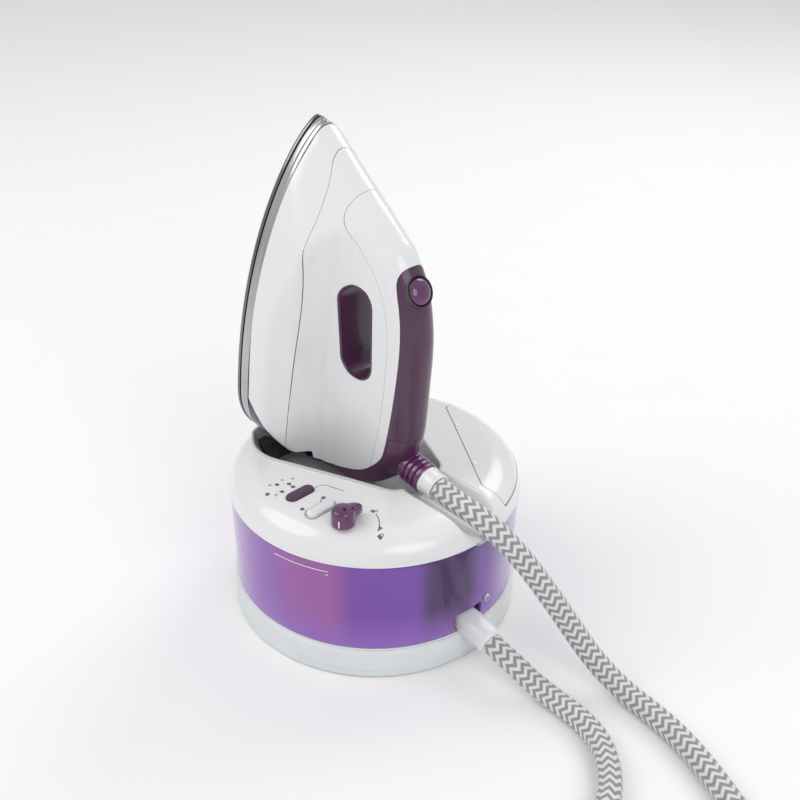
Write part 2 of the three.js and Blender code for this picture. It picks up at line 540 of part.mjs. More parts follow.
add('lock_latch', lockLatch(), PLASTIC.dark);

// ---------------------------------------------------------------- base: boiler, pump and pipes
const BOILER_AT = [-26, 22];
const BOILER_RADIUS = 36;
const BOILER_BOTTOM = 16;
const BOILER_TOP = 74;
const BOILER_HALF = (BOILER_BOTTOM + BOILER_TOP) / 2;

const boiler = turned([[0, BOILER_BOTTOM], [BOILER_RADIUS - 8, BOILER_BOTTOM], [BOILER_RADIUS, BOILER_BOTTOM + 8],
  [BOILER_RADIUS, BOILER_TOP - 10], [BOILER_RADIUS - 8, BOILER_TOP - 2], [0, BOILER_TOP]], 28);
const boilerFlange = ring(BOILER_RADIUS - 2, BOILER_RADIUS + 5, BOILER_HALF - 2, BOILER_HALF + 2, 28);
add('boiler', join(boiler, boilerFlange).translate(...BOILER_AT, 0), METAL.steel);

const heaterRing = ring(20, 27, BASE_FLOOR_TOP + 4, BOILER_BOTTOM - GAP, 24);
const heaterTerminals = [-1, 1].map((side) => box(side * 4 - 1.5, side * 4 + 1.5, -33, -25,
  BASE_FLOOR_TOP + 5, BOILER_BOTTOM - 1));
add('boiler_heater', join(heaterRing, ...heaterTerminals).translate(...BOILER_AT, 0), METAL.aluminium);
add('boiler_thermostat', join(rod(8, BOILER_TOP + GAP, BOILER_TOP + 6, 0, 0, 24), box(-3, 3, -12, 12, BOILER_TOP + 1, BOILER_TOP + 3))
  .translate(BOILER_AT[0] - 12, BOILER_AT[1] + 8, 0), METAL.aluminium);

const VALVE_AT = [BOILER_AT[0] + 16, BOILER_AT[1] - 8];
const VALVE_LEVEL = BOILER_TOP + 5;
const valveBody = rod(6.5, BOILER_TOP + GAP, VALVE_LEVEL + 7, 0, 0, 20);
const valveCoil = box(-10, 10, -8, 8, VALVE_LEVEL - 2, VALVE_LEVEL + 7);
add('steam_valve', join(valveBody, valveCoil).translate(...VALVE_AT, 0), METAL.brass);

const PUMP_AT = [22, -44];
const PUMP_LEVEL = 36;
function pump() {
  const motor = rodBetween([-24, 0, PUMP_LEVEL], [14, 0, PUMP_LEVEL], 15, 28);
  const head = rodBetween([13, 0, PUMP_LEVEL], [24, 0, PUMP_LEVEL], 11, 24);
  const inlet = rodBetween([23, 0, PUMP_LEVEL], [33, 0, PUMP_LEVEL], 3.5, 12);
  return join(motor, head, inlet).translate(...PUMP_AT, 0);
}
add('water_pump', pump(), PLASTIC.dark);
[-16, 6].forEach((along, i) => {
  const cradle = box(PUMP_AT[0] + along - 4, PUMP_AT[0] + along + 4, PUMP_AT[1] - 12, PUMP_AT[1] + 12,
    BASE_FLOOR_TOP + GAP, PUMP_LEVEL - 4);
  const seat = rodBetween([PUMP_AT[0] - 40, PUMP_AT[1], PUMP_LEVEL], [PUMP_AT[0] + 40, PUMP_AT[1], PUMP_LEVEL], 15 + GAP, 28);
  add('pump_mount_' + (i + 1), cut(cradle, seat), PLASTIC.rubber);
});

// Pipes: tank to pump, pump to boiler, valve to hose exit.
const PIPE_RADIUS = 3;
add('pump_inlet_pipe', tube([[PUMP_AT[0] + 34, PUMP_AT[1], PUMP_LEVEL], [62, -42, PUMP_LEVEL], [66, -36, PUMP_LEVEL + 3],
  [66, -34, PUMP_LEVEL + 14], [67.5, -34.5, PUMP_LEVEL + 20]], PIPE_RADIUS, 12, 10), PLASTIC.silicone);
add('boiler_feed_pipe', tube([[PUMP_AT[0] - 25, PUMP_AT[1], PUMP_LEVEL], [-16, -46, PUMP_LEVEL], [-27, -44, 40],
  [-34, -36, 52], [-32, -27, 56], [-29.5, BOILER_AT[1] - BOILER_RADIUS - 1, 57]], PIPE_RADIUS, 10, 8), PLASTIC.silicone);
add('steam_pipe', tube([[VALVE_AT[0] + 11, VALVE_AT[1], VALVE_LEVEL + 2], [16, 15, VALVE_LEVEL], [26, 13, 66], [34, 6, 46],
  [44, -1, EXIT_HEIGHT + 1], [56, -3, EXIT_HEIGHT], [66, -3.4, EXIT_HEIGHT]], PIPE_RADIUS + 1, 12, 8), PLASTIC.silicone);

// ---------------------------------------------------------------- base: hose exit and mains inlet
function hoseGland() {
  const block = box(NOTCH_START - 4, EXIT_FACE, -NOTCH_HALF_WIDTH + 1, NOTCH_HALF_WIDTH - 1, BASE_FLOOR_TOP + GAP, NOTCH_TOP - 1);
  const clearOfWall = ring(RIM_RADIUS - 6 - GAP - 20, RIM_RADIUS + 10, BASE_FLOOR_TOP, FOOT_HEIGHT + 1);
  const bore = rodBetween([NOTCH_START - 6, 0, EXIT_HEIGHT], [RIM_RADIUS, 0, EXIT_HEIGHT], 5, 20);
  return cut(block, cut(clearOfWall, ring(50, EXIT_FACE - 0.5, 0, 60)), bore).rotateZ(exitTurn);
}
add('base_hose_gland', hoseGland(), PLASTIC.white);

// The mains cord's gland, low on the back, where the cord itself isn't modelled.
function mainsInlet() {
  return cut(inletRod(RIM_RADIUS - 11, FOOT_RADIUS + 4, INLET_RADIUS), inletRod(RIM_RADIUS - 14, FOOT_RADIUS + 8, 3.2));
}
add('mains_cord_gland', mainsInlet(), PLASTIC.dark);

// ---------------------------------------------------------------- the iron
// Its own frame: x from the sole's face to the handle, y across, z from the heel to the tip.
iron.rotation.y = IRON_TILT * DEG;
iron.position.set(SOLE_X, 0, HEEL_Z);
root.add(iron);

const TO_PLAN = new THREE.Matrix4().makeBasis(
  new THREE.Vector3(0, 1, 0), new THREE.Vector3(0, 0, 1), new THREE.Vector3(1, 0, 0));
const TO_SIDE = new THREE.Matrix4().makeBasis(
  new THREE.Vector3(1, 0, 0), new THREE.Vector3(0, 0, 1), new THREE.Vector3(0, -1, 0));
const TO_END = new THREE.Matrix4().makeBasis(
  new THREE.Vector3(0, 1, 0), new THREE.Vector3(1, 0, 0), new THREE.Vector3(0, 0, -1));

const TO_ALONG = new THREE.Matrix4().makeBasis(
  new THREE.Vector3(0, 1, 0), new THREE.Vector3(0, 0, 1), new THREE.Vector3(1, 0, 0));

// The sole's outline, drawn in by inset, from one height over the sole to another.
function soleLayer(inset, from, to, segments = 8) {
  const half = SOLE_HALF_WIDTH - inset, heel = -HEEL_REACH + inset, tip = SOLE_LENGTH - 1.8 * inset;
  const widest = 0.22 * SOLE_LENGTH;
  const shape = new THREE.Shape();
  shape.moveTo(0, heel);
  shape.bezierCurveTo(0.6 * half, heel, half, 0.07 * SOLE_LENGTH, half, widest);
  shape.bezierCurveTo(half, 0.49 * SOLE_LENGTH, 0.7 * half, 0.87 * SOLE_LENGTH, 0, tip);
  shape.bezierCurveTo(-0.7 * half, 0.87 * SOLE_LENGTH, -half, 0.49 * SOLE_LENGTH, -half, widest);
  shape.bezierCurveTo(-half, 0.07 * SOLE_LENGTH, -0.6 * half, heel, 0, heel);
  return new THREE.ExtrudeGeometry(shape, { depth: to - from, bevelEnabled: false, curveSegments: segments })
    .translate(0, 0, from).applyMatrix4(TO_PLAN);
}

// A side outline of [from sole, from heel] points, through the whole width or from one side to another.
function sideLayer(shape, from = -90, to = 90, segments = 4) {
  return new THREE.ExtrudeGeometry(shape, { depth: to - from, bevelEnabled: false, curveSegments: segments })
    .translate(0, 0, -to).applyMatrix4(TO_SIDE);
}

// The side outline of the body, up to the middle of the grip.
function sideOutline() {
  const shape = new THREE.Shape();
  shape.moveTo(0, -HEEL_REACH);
  shape.lineTo(72, -HEEL_REACH);
  shape.bezierCurveTo(92, -HEEL_REACH, GRIP_LEVEL - 16, 0, GRIP_LEVEL - 4, 18);
  shape.lineTo(GRIP_LEVEL, 66);
  shape.bezierCurveTo(GRIP_LEVEL - 3, 105, GRIP_LEVEL - 4, 140, GRIP_LEVEL - 14, 168);
  shape.bezierCurveTo(GRIP_LEVEL - 22, 185, GRIP_LEVEL - 44, 204, GRIP_LEVEL - 68, 220);
  shape.bezierCurveTo(42, 228, 30, 236, CASTING_TOP, SOLE_LENGTH - 5);
  shape.lineTo(0, SOLE_LENGTH);
  shape.closePath();
  return shape;
}

// The end outline of the body: full at the sole, hollow-sided under the grip.
function endOutline() {
  const h = GRIP_RADIUS - 1.5;
  const shape = new THREE.Shape();
  shape.moveTo(-SOLE_HALF_WIDTH, 0);
  shape.lineTo(SOLE_HALF_WIDTH, 0);
  shape.lineTo(SOLE_HALF_WIDTH, CASTING_TOP);
  shape.bezierCurveTo(SOLE_HALF_WIDTH - 1, 30, 52, 40, 40, 51);
  shape.bezierCurveTo(27, 63, 20, 72, h + 1, 92);
  shape.lineTo(h, GRIP_LEVEL + 20);
  shape.lineTo(-h, GRIP_LEVEL + 20);
  shape.lineTo(-h - 1, 92);
  shape.bezierCurveTo(-20, 72, -27, 63, -40, 51);
  shape.bezierCurveTo(-52, 40, -SOLE_HALF_WIDTH + 1, 30, -SOLE_HALF_WIDTH, CASTING_TOP);
  shape.closePath();
  return shape;
}

// The round grip, bent down to the nose in front and to the heel behind.
const GRIP_ROUTE = [[GRIP_LEVEL - 8, 12], [GRIP_LEVEL - 1.5, 38], [GRIP_LEVEL + 0.5, 66], [GRIP_LEVEL - 2, 105],
  [GRIP_LEVEL - 5, 138], [GRIP_LEVEL - 12, 163], [GRIP_LEVEL - 24, 181], [GRIP_LEVEL - 40, 194]];
const gripForm = tube(GRIP_ROUTE.map(([x, z]) => [x, 0, z]), GRIP_RADIUS, 9, 12);

// The nose is a round ridge that falls from the handle to the tip.
const RIDGE_START = [GRIP_LEVEL - 94, 243];
const RIDGE_FALL = 29.4; // degrees from the handle's outward way
function noseRoof() {
  const section = shapeOf([[0, 0], [8, -2], [13, -5], [19, -10], [27, -20], [42, -45], [66, -80], [90, -100], [90, -400],
    [-90, -400], [-90, -100], [-66, -80], [-42, -45], [-27, -20], [-19, -10], [-13, -5], [-8, -2]]);
  const roof = new THREE.ExtrudeGeometry(section, { depth: 600, bevelEnabled: false }).translate(0, 0, -300)
    .applyMatrix4(TO_ALONG).rotateY(RIDGE_FALL * DEG).translate(RIDGE_START[0], 0, RIDGE_START[1]);
  return join(roof, box(-10, CASTING_TOP - GAP / 2, -100, 100, -100, 400));
}

const bodyForm = common(soleLayer(0, 0, GRIP_LEVEL + 20), sideLayer(sideOutline()), noseRoof(),
  new THREE.ExtrudeGeometry(endOutline(), { depth: 400, bevelEnabled: false, curveSegments: 4 })
    .translate(0, 0, -300).applyMatrix4(TO_END));
const ironForm = join(bodyForm, gripForm);

// The form drawn in by a wall on every side but the sole's.
function ironRoom(wall) {
  return common(shifted(ironForm, -wall, 0, 0), shifted(ironForm, 0, wall, 0), shifted(ironForm, 0, -wall, 0),
    shifted(ironForm, 0, 0, wall), shifted(ironForm, 0, 0, -wall));
}
const room = ironRoom(IRON_WALL);

// A slab of the iron between two heights over the sole.
const slab = (from, to) => box(from, to, -100, 100, -100, 400);

// The side view's region beyond a seam of [from sole, from heel] points, on the handle's side.
function beyond(seam, slip) {
  const shape = new THREE.Shape();
  shape.moveTo(seam[0][0] + slip, seam[0][1] + slip);
  shape.splineThru(seam.slice(1).map(([x, y]) => new THREE.Vector2(x + slip, y + slip)));
  shape.lineTo(260, seam[seam.length - 1][1] + slip);
  shape.lineTo(260, 330);
  shape.lineTo(seam[0][0] + slip, 330);
  shape.closePath();
  return sideLayer(shape, -90, 90, 2);
}

const openingShape = (more) => pillShape(OPENING_LENGTH + 2 * more, OPENING_WIDTH + 2 * more);
function fingerOpening(more, halfDepth = 90) {
  const shape = openingShape(more);
  return new THREE.ExtrudeGeometry(shape, { depth: 2 * halfDepth, bevelEnabled: false, curveSegments: 5 })
    .translate(0, 0, -halfDepth).applyMatrix4(TO_SIDE).rotateY(OPENING_LEAN * DEG)
    .translate(OPENING_MIDDLE[0], 0, OPENING_MIDDLE[1]);
}

const COVER_SEAM = [[GRIP_LEVEL - 24, 205], [GRIP_LEVEL - 20, 188], [GRIP_LEVEL - 12, 172], [GRIP_LEVEL - 5, 150],
  [GRIP_LEVEL - 2, 125], [GRIP_LEVEL, 90], [GRIP_LEVEL - 1, 52], [GRIP_LEVEL - 5, 26], [GRIP_LEVEL - 14, -20]];
const FRAME_SEAM = [[GRIP_LEVEL - 56, 240], [GRIP_LEVEL - 66, 212], [GRIP_LEVEL - 44, 192], [GRIP_LEVEL - 29, 177],
  [GRIP_LEVEL - 17, 155], [GRIP_LEVEL - 12, 130], [GRIP_LEVEL - 10, 90], [GRIP_LEVEL - 11, 52], [GRIP_LEVEL - 14, 26],
  [GRIP_LEVEL - 24, -30]];
const SEAM_SLIP = 0.25;

// The heel's cover is what lies within its wall of the rear.
function aheadOfHeel(wall) {
  const shape = new THREE.Shape();
  shape.moveTo(-20, wall - HEEL_REACH);
  shape.lineTo(72, wall - HEEL_REACH);
  shape.bezierCurveTo(92, wall - HEEL_REACH, GRIP_LEVEL - 16, wall, GRIP_LEVEL - 4, wall + 18);
  shape.lineTo(GRIP_LEVEL + 80, wall + 40);
  shape.lineTo(GRIP_LEVEL + 80, 400);
  shape.lineTo(-20, 400);
  shape.closePath();
  return common(sideLayer(shape, -90, 90, 4), soleLayer(0, -5, GRIP_LEVEL + 60).translate(0, 0, wall));
}

const opening = fingerOpening(LINER_WALL + GAP);
const collarHole = join(
  rodBetween([COLLAR_START - 25, 0, COLLAR_LEVEL], [GRIP_LEVEL + 60, 0, COLLAR_LEVEL], COLLAR_RADIUS - 2, 16),
  rodBetween([COLLAR_START - GAP, 0, COLLAR_LEVEL], [GRIP_LEVEL + 60, 0, COLLAR_LEVEL], COLLAR_RADIUS + 0.5, 16));
const buttonAxis = [Math.cos(STEAM_BUTTON_SLOPE * DEG), 0, Math.sin(STEAM_BUTTON_SLOPE * DEG)];
const alongButton = (distance) => [STEAM_BUTTON_AT[0] + distance * buttonAxis[0], 0,
  STEAM_BUTTON_AT[1] + distance * buttonAxis[2]];
const buttonWell = rodBetween(alongButton(-7), alongButton(30), STEAM_BUTTON_RADIUS + BUTTON_CLEARANCE, 24);

const soleCore = common(ironForm, slab(0, SOLE_THICKNESS));
add('soleplate', soleCore, METAL.sole, iron);
function heaterCasting() {
  const layer = common(ironForm, slab(SOLE_THICKNESS + GAP, CASTING_TOP - GAP));
  return cut(layer, common(ironRoom(10), slab(SOLE_THICKNESS + 5, CASTING_TOP + 5)));
}
add('heater_casting', heaterCasting(), METAL.chrome, iron);

// The U-shaped heating rod on the casting.
const heaterPath = [[10.4, -24, 18], [10.4, -32, 60], [10.4, -28, 110], [10.4, -14, 160], [10.4, 0, 176],
  [10.4, 14, 160], [10.4, 28, 110], [10.4, 32, 60], [10.4, 24, 18]];
add('sole_heating_rod', tube(heaterPath.map(([x, y, z]) => [x + 3.2, y, z]), 2.6, 18, 8), METAL.steel, iron);
add('sole_thermostat', rodBetween([SOLE_THICKNESS + 5 + GAP, 0, 70], [SOLE_THICKNESS + 14, 0, 70], 9, 24), METAL.aluminium, iron);

const skirtRegion = slab(CASTING_TOP, SKIRT_TOP - GAP);
add('iron_skirt', cut(common(ironForm, skirtRegion, aheadOfHeel(HEEL_COVER_WALL + GAP)), room), PLASTIC.white, iron);

// Where the latch's nose goes in, in the iron's frame.
const LATCH_POCKET = [LATCH_NOSE_X - SOLE_X + 1, LATCH_NOSE_LEVEL + 3 - HEEL_Z + (LATCH_NOSE_X - SOLE_X) * Math.tan(IRON_TILT * DEG)];
const latchPocket = box(LATCH_POCKET[0] - 7, LATCH_POCKET[0] + 7, -60, -24, LATCH_POCKET[1] - 6, LATCH_POCKET[1] + 6);

function upperShell() {
  const region = cut(common(ironForm, slab(SKIRT_TOP, 200), aheadOfHeel(HEEL_COVER_WALL + GAP)), beyond(FRAME_SEAM, 0));
  const hollow = cut(room, fingerOpening(LINER_WALL + GAP + IRON_WALL));
  return cut(region, hollow, opening, latchPocket);
}
add('upper_shell', upperShell(), PLASTIC.white, iron);

function handleFrame() {
  const region = cut(common(ironForm, beyond(FRAME_SEAM, SEAM_SLIP), aheadOfHeel(HEEL_COVER_WALL + GAP)), beyond(COVER_SEAM, 0));
  return cut(region, room, collarHole, buttonWell, opening);
}
add('handle_frame', handleFrame(), PLASTIC.white, iron);

function handleCover() {
  return cut(common(ironForm, beyond(COVER_SEAM, SEAM_SLIP)), room, collarHole, buttonWell);
}
add('handle_cover', handleCover(), PLASTIC.trim, iron);

function heelCover() {
  const region = cut(common(ironForm, slab(CASTING_TOP, 200)), aheadOfHeel(HEEL_COVER_WALL));
  return cut(region, collarHole, latchPocket, beyond(COVER_SEAM, 0));
}
add('heel_cover', heelCover(), PLASTIC.trim, iron);

function openingLiner() {
  const sleeve = cut(fingerOpening(LINER_WALL), fingerOpening(0, 95));
  return common(sleeve, shifted(ironForm, -0.6, 0.6, 0), shifted(ironForm, -0.6, -0.6, 0));
}
add('opening_liner', openingLiner(), PLASTIC.trim, iron);

function steamButton() {
  const stem = rodBetween(alongButton(-10), alongButton(-3), 4, 12);
  const head = rodBetween(alongButton(-4), alongButton(2.5), STEAM_BUTTON_RADIUS, 24);
  return join(head, stem);
}
add('steam_button', steamButton(), PLASTIC.bright, iron);
add('button_switch', box(-3, 3, -4, 4, -6, 6).rotateY(-STEAM_BUTTON_SLOPE * DEG)
  .translate(...alongButton(-17)), PLASTIC.dark, iron);

// The hose's collar: three ribs on a barrel.
function hoseCollar() {
  const profile = [[4.5, 0], [9.2, 0]];
  for (let i = 0; i < 3; i++) {
    const at = 1.5 + i * 7;
    profile.push([9.8, at], [COLLAR_RADIUS, at + 1], [COLLAR_RADIUS, at + 4.6], [9.8, at + 5.6]);
  }
  profile.push([9.8, COLLAR_LENGTH], [4.5, COLLAR_LENGTH]);
  return turned(profile, 14).rotateY(Math.PI / 2).translate(COLLAR_START, 0, COLLAR_LEVEL);
}
add('hose_collar', hoseCollar(), PLASTIC.bright, iron);
const IRON_SLEEVE_START = COLLAR_START + COLLAR_LENGTH + GAP;
add('iron_hose_sleeve', cut(rodBetween([IRON_SLEEVE_START, 0, COLLAR_LEVEL],
  [IRON_SLEEVE_START + IRON_SLEEVE_LENGTH, 0, COLLAR_LEVEL], SLEEVE_RADIUS, 24),
rodBetween([IRON_SLEEVE_START - 1, 0, COLLAR_LEVEL], [IRON_SLEEVE_START + IRON_SLEEVE_LENGTH + 1, 0, COLLAR_LEVEL], 5, 16)),
PLASTIC.white, iron);
add('iron_steam_tube', tube([[COLLAR_START + 16, 0, COLLAR_LEVEL], [GRIP_LEVEL - 8, 0, COLLAR_LEVEL], [GRIP_LEVEL - 24, 0, 32],
  [70, 0, 28], [46, 0, 30], [28, 0, 40], [16, 0, 50]], PIPE_RADIUS, 16, 8), PLASTIC.silicone, iron);

// ---------------------------------------------------------------- the steam hose
// Hand-chosen points where the hose isn't coiled; z is the hose's middle line.
iron.updateMatrixWorld(true);
const alongSleeve = (distance) => new THREE.Vector3(IRON_SLEEVE_START + IRON_SLEEVE_LENGTH + distance, 0, COLLAR_LEVEL)
  .applyMatrix4(iron.matrix).toArray();
const sleeveWay = new THREE.Vector3(...SLEEVE_ROUTE[3]).sub(new THREE.Vector3(...SLEEVE_ROUTE[2])).normalize();
const alongBaseSleeve = (distance) => new THREE.Vector3(...SLEEVE_ROUTE[3]).addScaledVector(sleeveWay, distance).toArray();
const TABLE = HOSE_RADIUS + 0.4;
const UPPER_ROUTE = [alongSleeve(0.5), alongSleeve(5), alongSleeve(12), [103, 2.5, 128], [119, 7.5, 120], [133, 13, 109],
  [146, 19, 95], [158, 25, 79], [170, 31, 62], [183, 36, 45], [198, 40, 29], [215, 43, 17], [234, 44, 10.5],
  [256, 43, TABLE], [284, 38, TABLE], [314, 28, TABLE], [344, 15, TABLE], [374, 1, TABLE], [408, -12, TABLE],
  [COIL_CENTRE[0] + 19, COIL_CENTRE[1] + COIL_RADIUS + 2 * HOSE_RADIUS - 0.5, TABLE]];
const LOWER_ROUTE = [alongBaseSleeve(0.5), alongBaseSleeve(6), [164, -6, 23], [178, -3.5, 16], [193, -1, 11],
  [208, 0, TABLE], [226, -1, TABLE], [246, -7, TABLE], [264, -19, TABLE], [280, -37, TABLE], [292, -60, TABLE],
  [301, -88, TABLE], [308, -118, TABLE], [318, -149, TABLE], [333, -179, TABLE], [354, -204, TABLE],
  [COIL_CENTRE[0] - 38, COIL_CENTRE[1] - COIL_RADIUS - HOSE_RADIUS - 4, TABLE]];
add('hose_upper_run', tube(UPPER_ROUTE, HOSE_RADIUS, 26, 8), PLASTIC.braid);
add('hose_lower_run', tube(LOWER_ROUTE, HOSE_RADIUS, 26, 8), PLASTIC.braid);
add('hose_coil', ring(COIL_RADIUS - HOSE_RADIUS, COIL_RADIUS + HOSE_RADIUS, 0.2,
  0.2 + 2 * HOSE_RADIUS * COIL_TURNS_HIGH, 40).translate(...COIL_CENTRE, 0), PLASTIC.braid);

export default root;
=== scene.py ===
"""The steam generator iron's looks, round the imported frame.

Lengths are in millimetres, in the frame's own axes, until a mesh is made: the base's axis at the floor is the
origin, +Z is up, +X goes from the sole of the parked iron to its handle. The iron's shapes are made in its own
frame, (c, b, a) = (from the sole's face, across, from the heel to the tip), and then stood in its place.
"""
import math

import bmesh
import bpy
import numpy as np
from mathutils import Matrix, Vector


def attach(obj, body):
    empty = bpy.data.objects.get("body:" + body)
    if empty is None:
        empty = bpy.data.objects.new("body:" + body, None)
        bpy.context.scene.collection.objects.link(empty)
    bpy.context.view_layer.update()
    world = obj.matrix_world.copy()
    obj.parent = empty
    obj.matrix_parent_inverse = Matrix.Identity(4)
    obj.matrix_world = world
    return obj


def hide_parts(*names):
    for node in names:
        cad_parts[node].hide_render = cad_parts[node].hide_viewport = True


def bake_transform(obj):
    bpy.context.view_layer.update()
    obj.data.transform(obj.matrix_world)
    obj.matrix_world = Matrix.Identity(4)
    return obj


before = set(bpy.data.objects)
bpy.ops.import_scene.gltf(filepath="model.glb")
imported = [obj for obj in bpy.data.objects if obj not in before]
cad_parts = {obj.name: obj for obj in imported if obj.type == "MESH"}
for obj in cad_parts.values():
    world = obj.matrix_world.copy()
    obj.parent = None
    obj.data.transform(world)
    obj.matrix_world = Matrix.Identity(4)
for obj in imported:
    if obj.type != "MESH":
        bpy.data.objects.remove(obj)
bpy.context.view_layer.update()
MM = 0.001
DEG = math.pi / 180

# ------------------------------------------------------------------ sizes shared with the frame
RIM_RADIUS = 115.0
RIM_HEIGHT = 108.0
DOME_RISE = 22.0
SHOULDER = 26.0  # plan width of the dome's round shoulder
CROWN = 2.0  # the dome's rise over its middle
FOOT_RADIUS = 117.0
TANK_RADIUS = 114.5
TRAY_FLOOR = 97.0
TRAY_DRAFT = 0.3  # the rest's walls lean in by this, for each millimetre of depth
LID_ANGLE = 58.5
LID_CHORD = 71.0
LID_EDGE = 112.5
LID_ENDS = (19.0, 98.0)
LID_CLEARANCE = 0.75
BUTTON_SIZE = (24.0, 9.5)
POWER_AT = (4.0, -78.0)
CLEAN_AT = (29.0, -79.0)
KNOB_AT = (53.0, -78.0)
LAMPS_AT = ((-20.0, -88.0), (-19.0, -77.0), (-7.0, -92.0), (-15.0, -70.0))
NOTCH_HALF = 14.0  # the cut in the tank's wall, round the hose's exit
NOTCH_TOP = 45.6
EXIT_ANGLE = -3.0
EXIT_HEIGHT = 35.0
HOSE_RADIUS = 8.75
COIL_CENTRE = (424.0, -124.0)
COIL_RADIUS = 80.0
LATCH_NOSE = (-47.0, 121.0)  # x and z of the latch's nose

IRON_TILT = 8.5
SOLE_X = -97.5
HEEL_Z = 124.0
SOLE_LENGTH = 255.0
SOLE_HALF = 63.5
WIDEST_AT = 56.0  # from the heel's line to the sole's widest place
HEEL_REACH = 6.0
CASTING_TOP = 13.0
COLLAR_LEVEL = 34.5
COLLAR_START = 131.0
COLLAR_LENGTH = 22.0
COLLAR_RADIUS = 12.0
IRON_SLEEVE_LENGTH = 12.0
STEAM_BUTTON_AT = (117.5, 177.0)
STEAM_BUTTON_RADIUS = 10.0
STEAM_BUTTON_SLOPE = 36.0
OPENING_AT = (80.0, 129.0)
OPENING_SIZE = (27.0, 72.0)
OPENING_LEAN = -7.0

HALF_SEAM = 0.16
BRAID_TEETH = 6  # zigzags round the hose
BRAID_PITCH = 6.6
BRAID_SLANT = 0.6  # a tooth's height, as a share of the pitch
BRAID_RELIEF = 0.5

TO_ROW = Matrix.Translation((SOLE_X * MM, 0, HEEL_Z * MM)) @ Matrix.Rotation(IRON_TILT * DEG, 4, "Y")
TO_METRES = Matrix.Scale(MM, 4)
IRON_PLACE = TO_ROW @ TO_METRES


# ------------------------------------------------------------------ small sums
def smooth(x, low, high):
    """A smooth step from 0 at low to 1 at high."""
    t = np.clip((x - low) / (high - low), 0, 1)
    return t * t * (3 - 2 * t)


def soft_min(p, q, room):
    """The smaller of two, with the corner between them rounded over that room."""
    h = np.clip(0.5 + 0.5 * (q - p) / room, 0, 1)
    return q + (p - q) * h - room * h * (1 - h)


def curve_through(points, steps=12):
    """Points on a smooth centripetal curve through the given ones."""
    p = np.array(points, float)
    ring = np.vstack([2 * p[0] - p[1], p, 2 * p[-1] - p[-2]])
    made = []
    for i in range(1, len(ring) - 2):
        p0, p1, p2, p3 = ring[i - 1:i + 3]
        k = [0.0]
        for q, r in ((p0, p1), (p1, p2), (p2, p3)):
            k.append(k[-1] + max(float(np.linalg.norm(r - q)) ** 0.5, 1e-6))
        for t in np.linspace(k[1], k[2], steps, endpoint=False):
            a1 = (k[1] - t) / (k[1] - k[0]) * p0 + (t - k[0]) / (k[1] - k[0]) * p1
            a2 = (k[2] - t) / (k[2] - k[1]) * p1 + (t - k[1]) / (k[2] - k[1]) * p2
            a3 = (k[3] - t) / (k[3] - k[2]) * p2 + (t - k[2]) / (k[3] - k[2]) * p3
            b1 = (k[2] - t) / (k[2] - k[0]) * a1 + (t - k[0]) / (k[2] - k[0]) * a2
            b2 = (k[3] - t) / (k[3] - k[1]) * a2 + (t - k[1]) / (k[3] - k[1]) * a3
            made.append((k[2] - t) / (k[2] - k[1]) * b1 + (t - k[1]) / (k[2] - k[1]) * b2)
    made.append(p[-1])
    return np.array(made)


def rounded(corners, radii, steps=8):
    """A closed outline through corners, each rounded off by its radius."""
    p = [np.array(c, float) for c in corners]
    made = []
    for i, (corner, radius) in enumerate(zip(p, radii)):
        before, after = p[i - 1], p[(i + 1) % len(p)]
        start = corner + (before - corner) / np.linalg.norm(before - corner) * radius
        end = corner + (after - corner) / np.linalg.norm(after - corner) * radius
        for t in np.linspace(0, 1, steps + 1):
            made.append((1 - t) ** 2 * start + 2 * t * (1 - t) * corner + t * t * end)
    return np.array(made)


def arc(radius, first, last, steps, centre=(0, 0)):
    """Points on an arc, its angles in radians."""
    return [(centre[0] + radius * math.cos(t), centre[1] + radius * math.sin(t))
            for t in np.linspace(first, last, steps)]


def turned_in_plane(x, y, angle):
    c, n = math.cos(angle), math.sin(angle)
    return x * c - y * n, x * n + y * c


def units_along(line):
    """The unit vector along an open line at each of its points."""
    way = np.gradient(np.array(line, float), axis=0)
    return way / np.linalg.norm(way, axis=1)[:, None]


def units_outward(ring):
    """The unit vector out of a closed outline at each of its points."""
    ahead, behind = np.roll(ring, -1, 0), np.roll(ring, 1, 0)
    way = (ahead - behind) / np.linalg.norm(ahead - behind, axis=1)[:, None]
    out = np.stack([way[:, 1], -way[:, 0]], 1)
    return out if np.sum(out * (ring - ring.mean(0))) > 0 else -out


def squared_circle(t, power):
    """A circle's (cos, sin), pushed out towards a square as the power falls below 1."""
    return np.sign(np.cos(t)) * np.abs(np.cos(t)) ** power, np.sign(np.sin(t)) * np.abs(np.sin(t)) ** power


def even(points, step, closed=True, count=None):
    """The same line with its points a set step apart, or a set number of them."""
    p = np.vstack([points, points[:1]]) if closed else np.array(points)
    gone = np.concatenate([[0], np.cumsum(np.linalg.norm(np.diff(p, axis=0), axis=1))])
    count = count or max(8, int(round(gone[-1] / step)))
    at = np.linspace(0, gone[-1], count, endpoint=not closed)
    return np.stack([np.interp(at, gone, p[:, k]) for k in range(p.shape[1])], 1)


def distance_to_line(x, y, line, closed=True):
    """Distance of each (x, y) to a line of points."""
    a = np.array(line, float)
    b = np.roll(a, -1, 0) if closed else a[1:]
    a = a if closed else a[:-1]
    best = np.full(x.shape, 1e9)
    for (ax, ay), (bx, by) in zip(a, b):
        dx, dy = bx - ax, by - ay
        t = np.clip(((x - ax) * dx + (y - ay) * dy) / max(dx * dx + dy * dy, 1e-12), 0, 1)
        best = np.minimum(best, np.hypot(x - ax - t * dx, y - ay - t * dy))
    return best


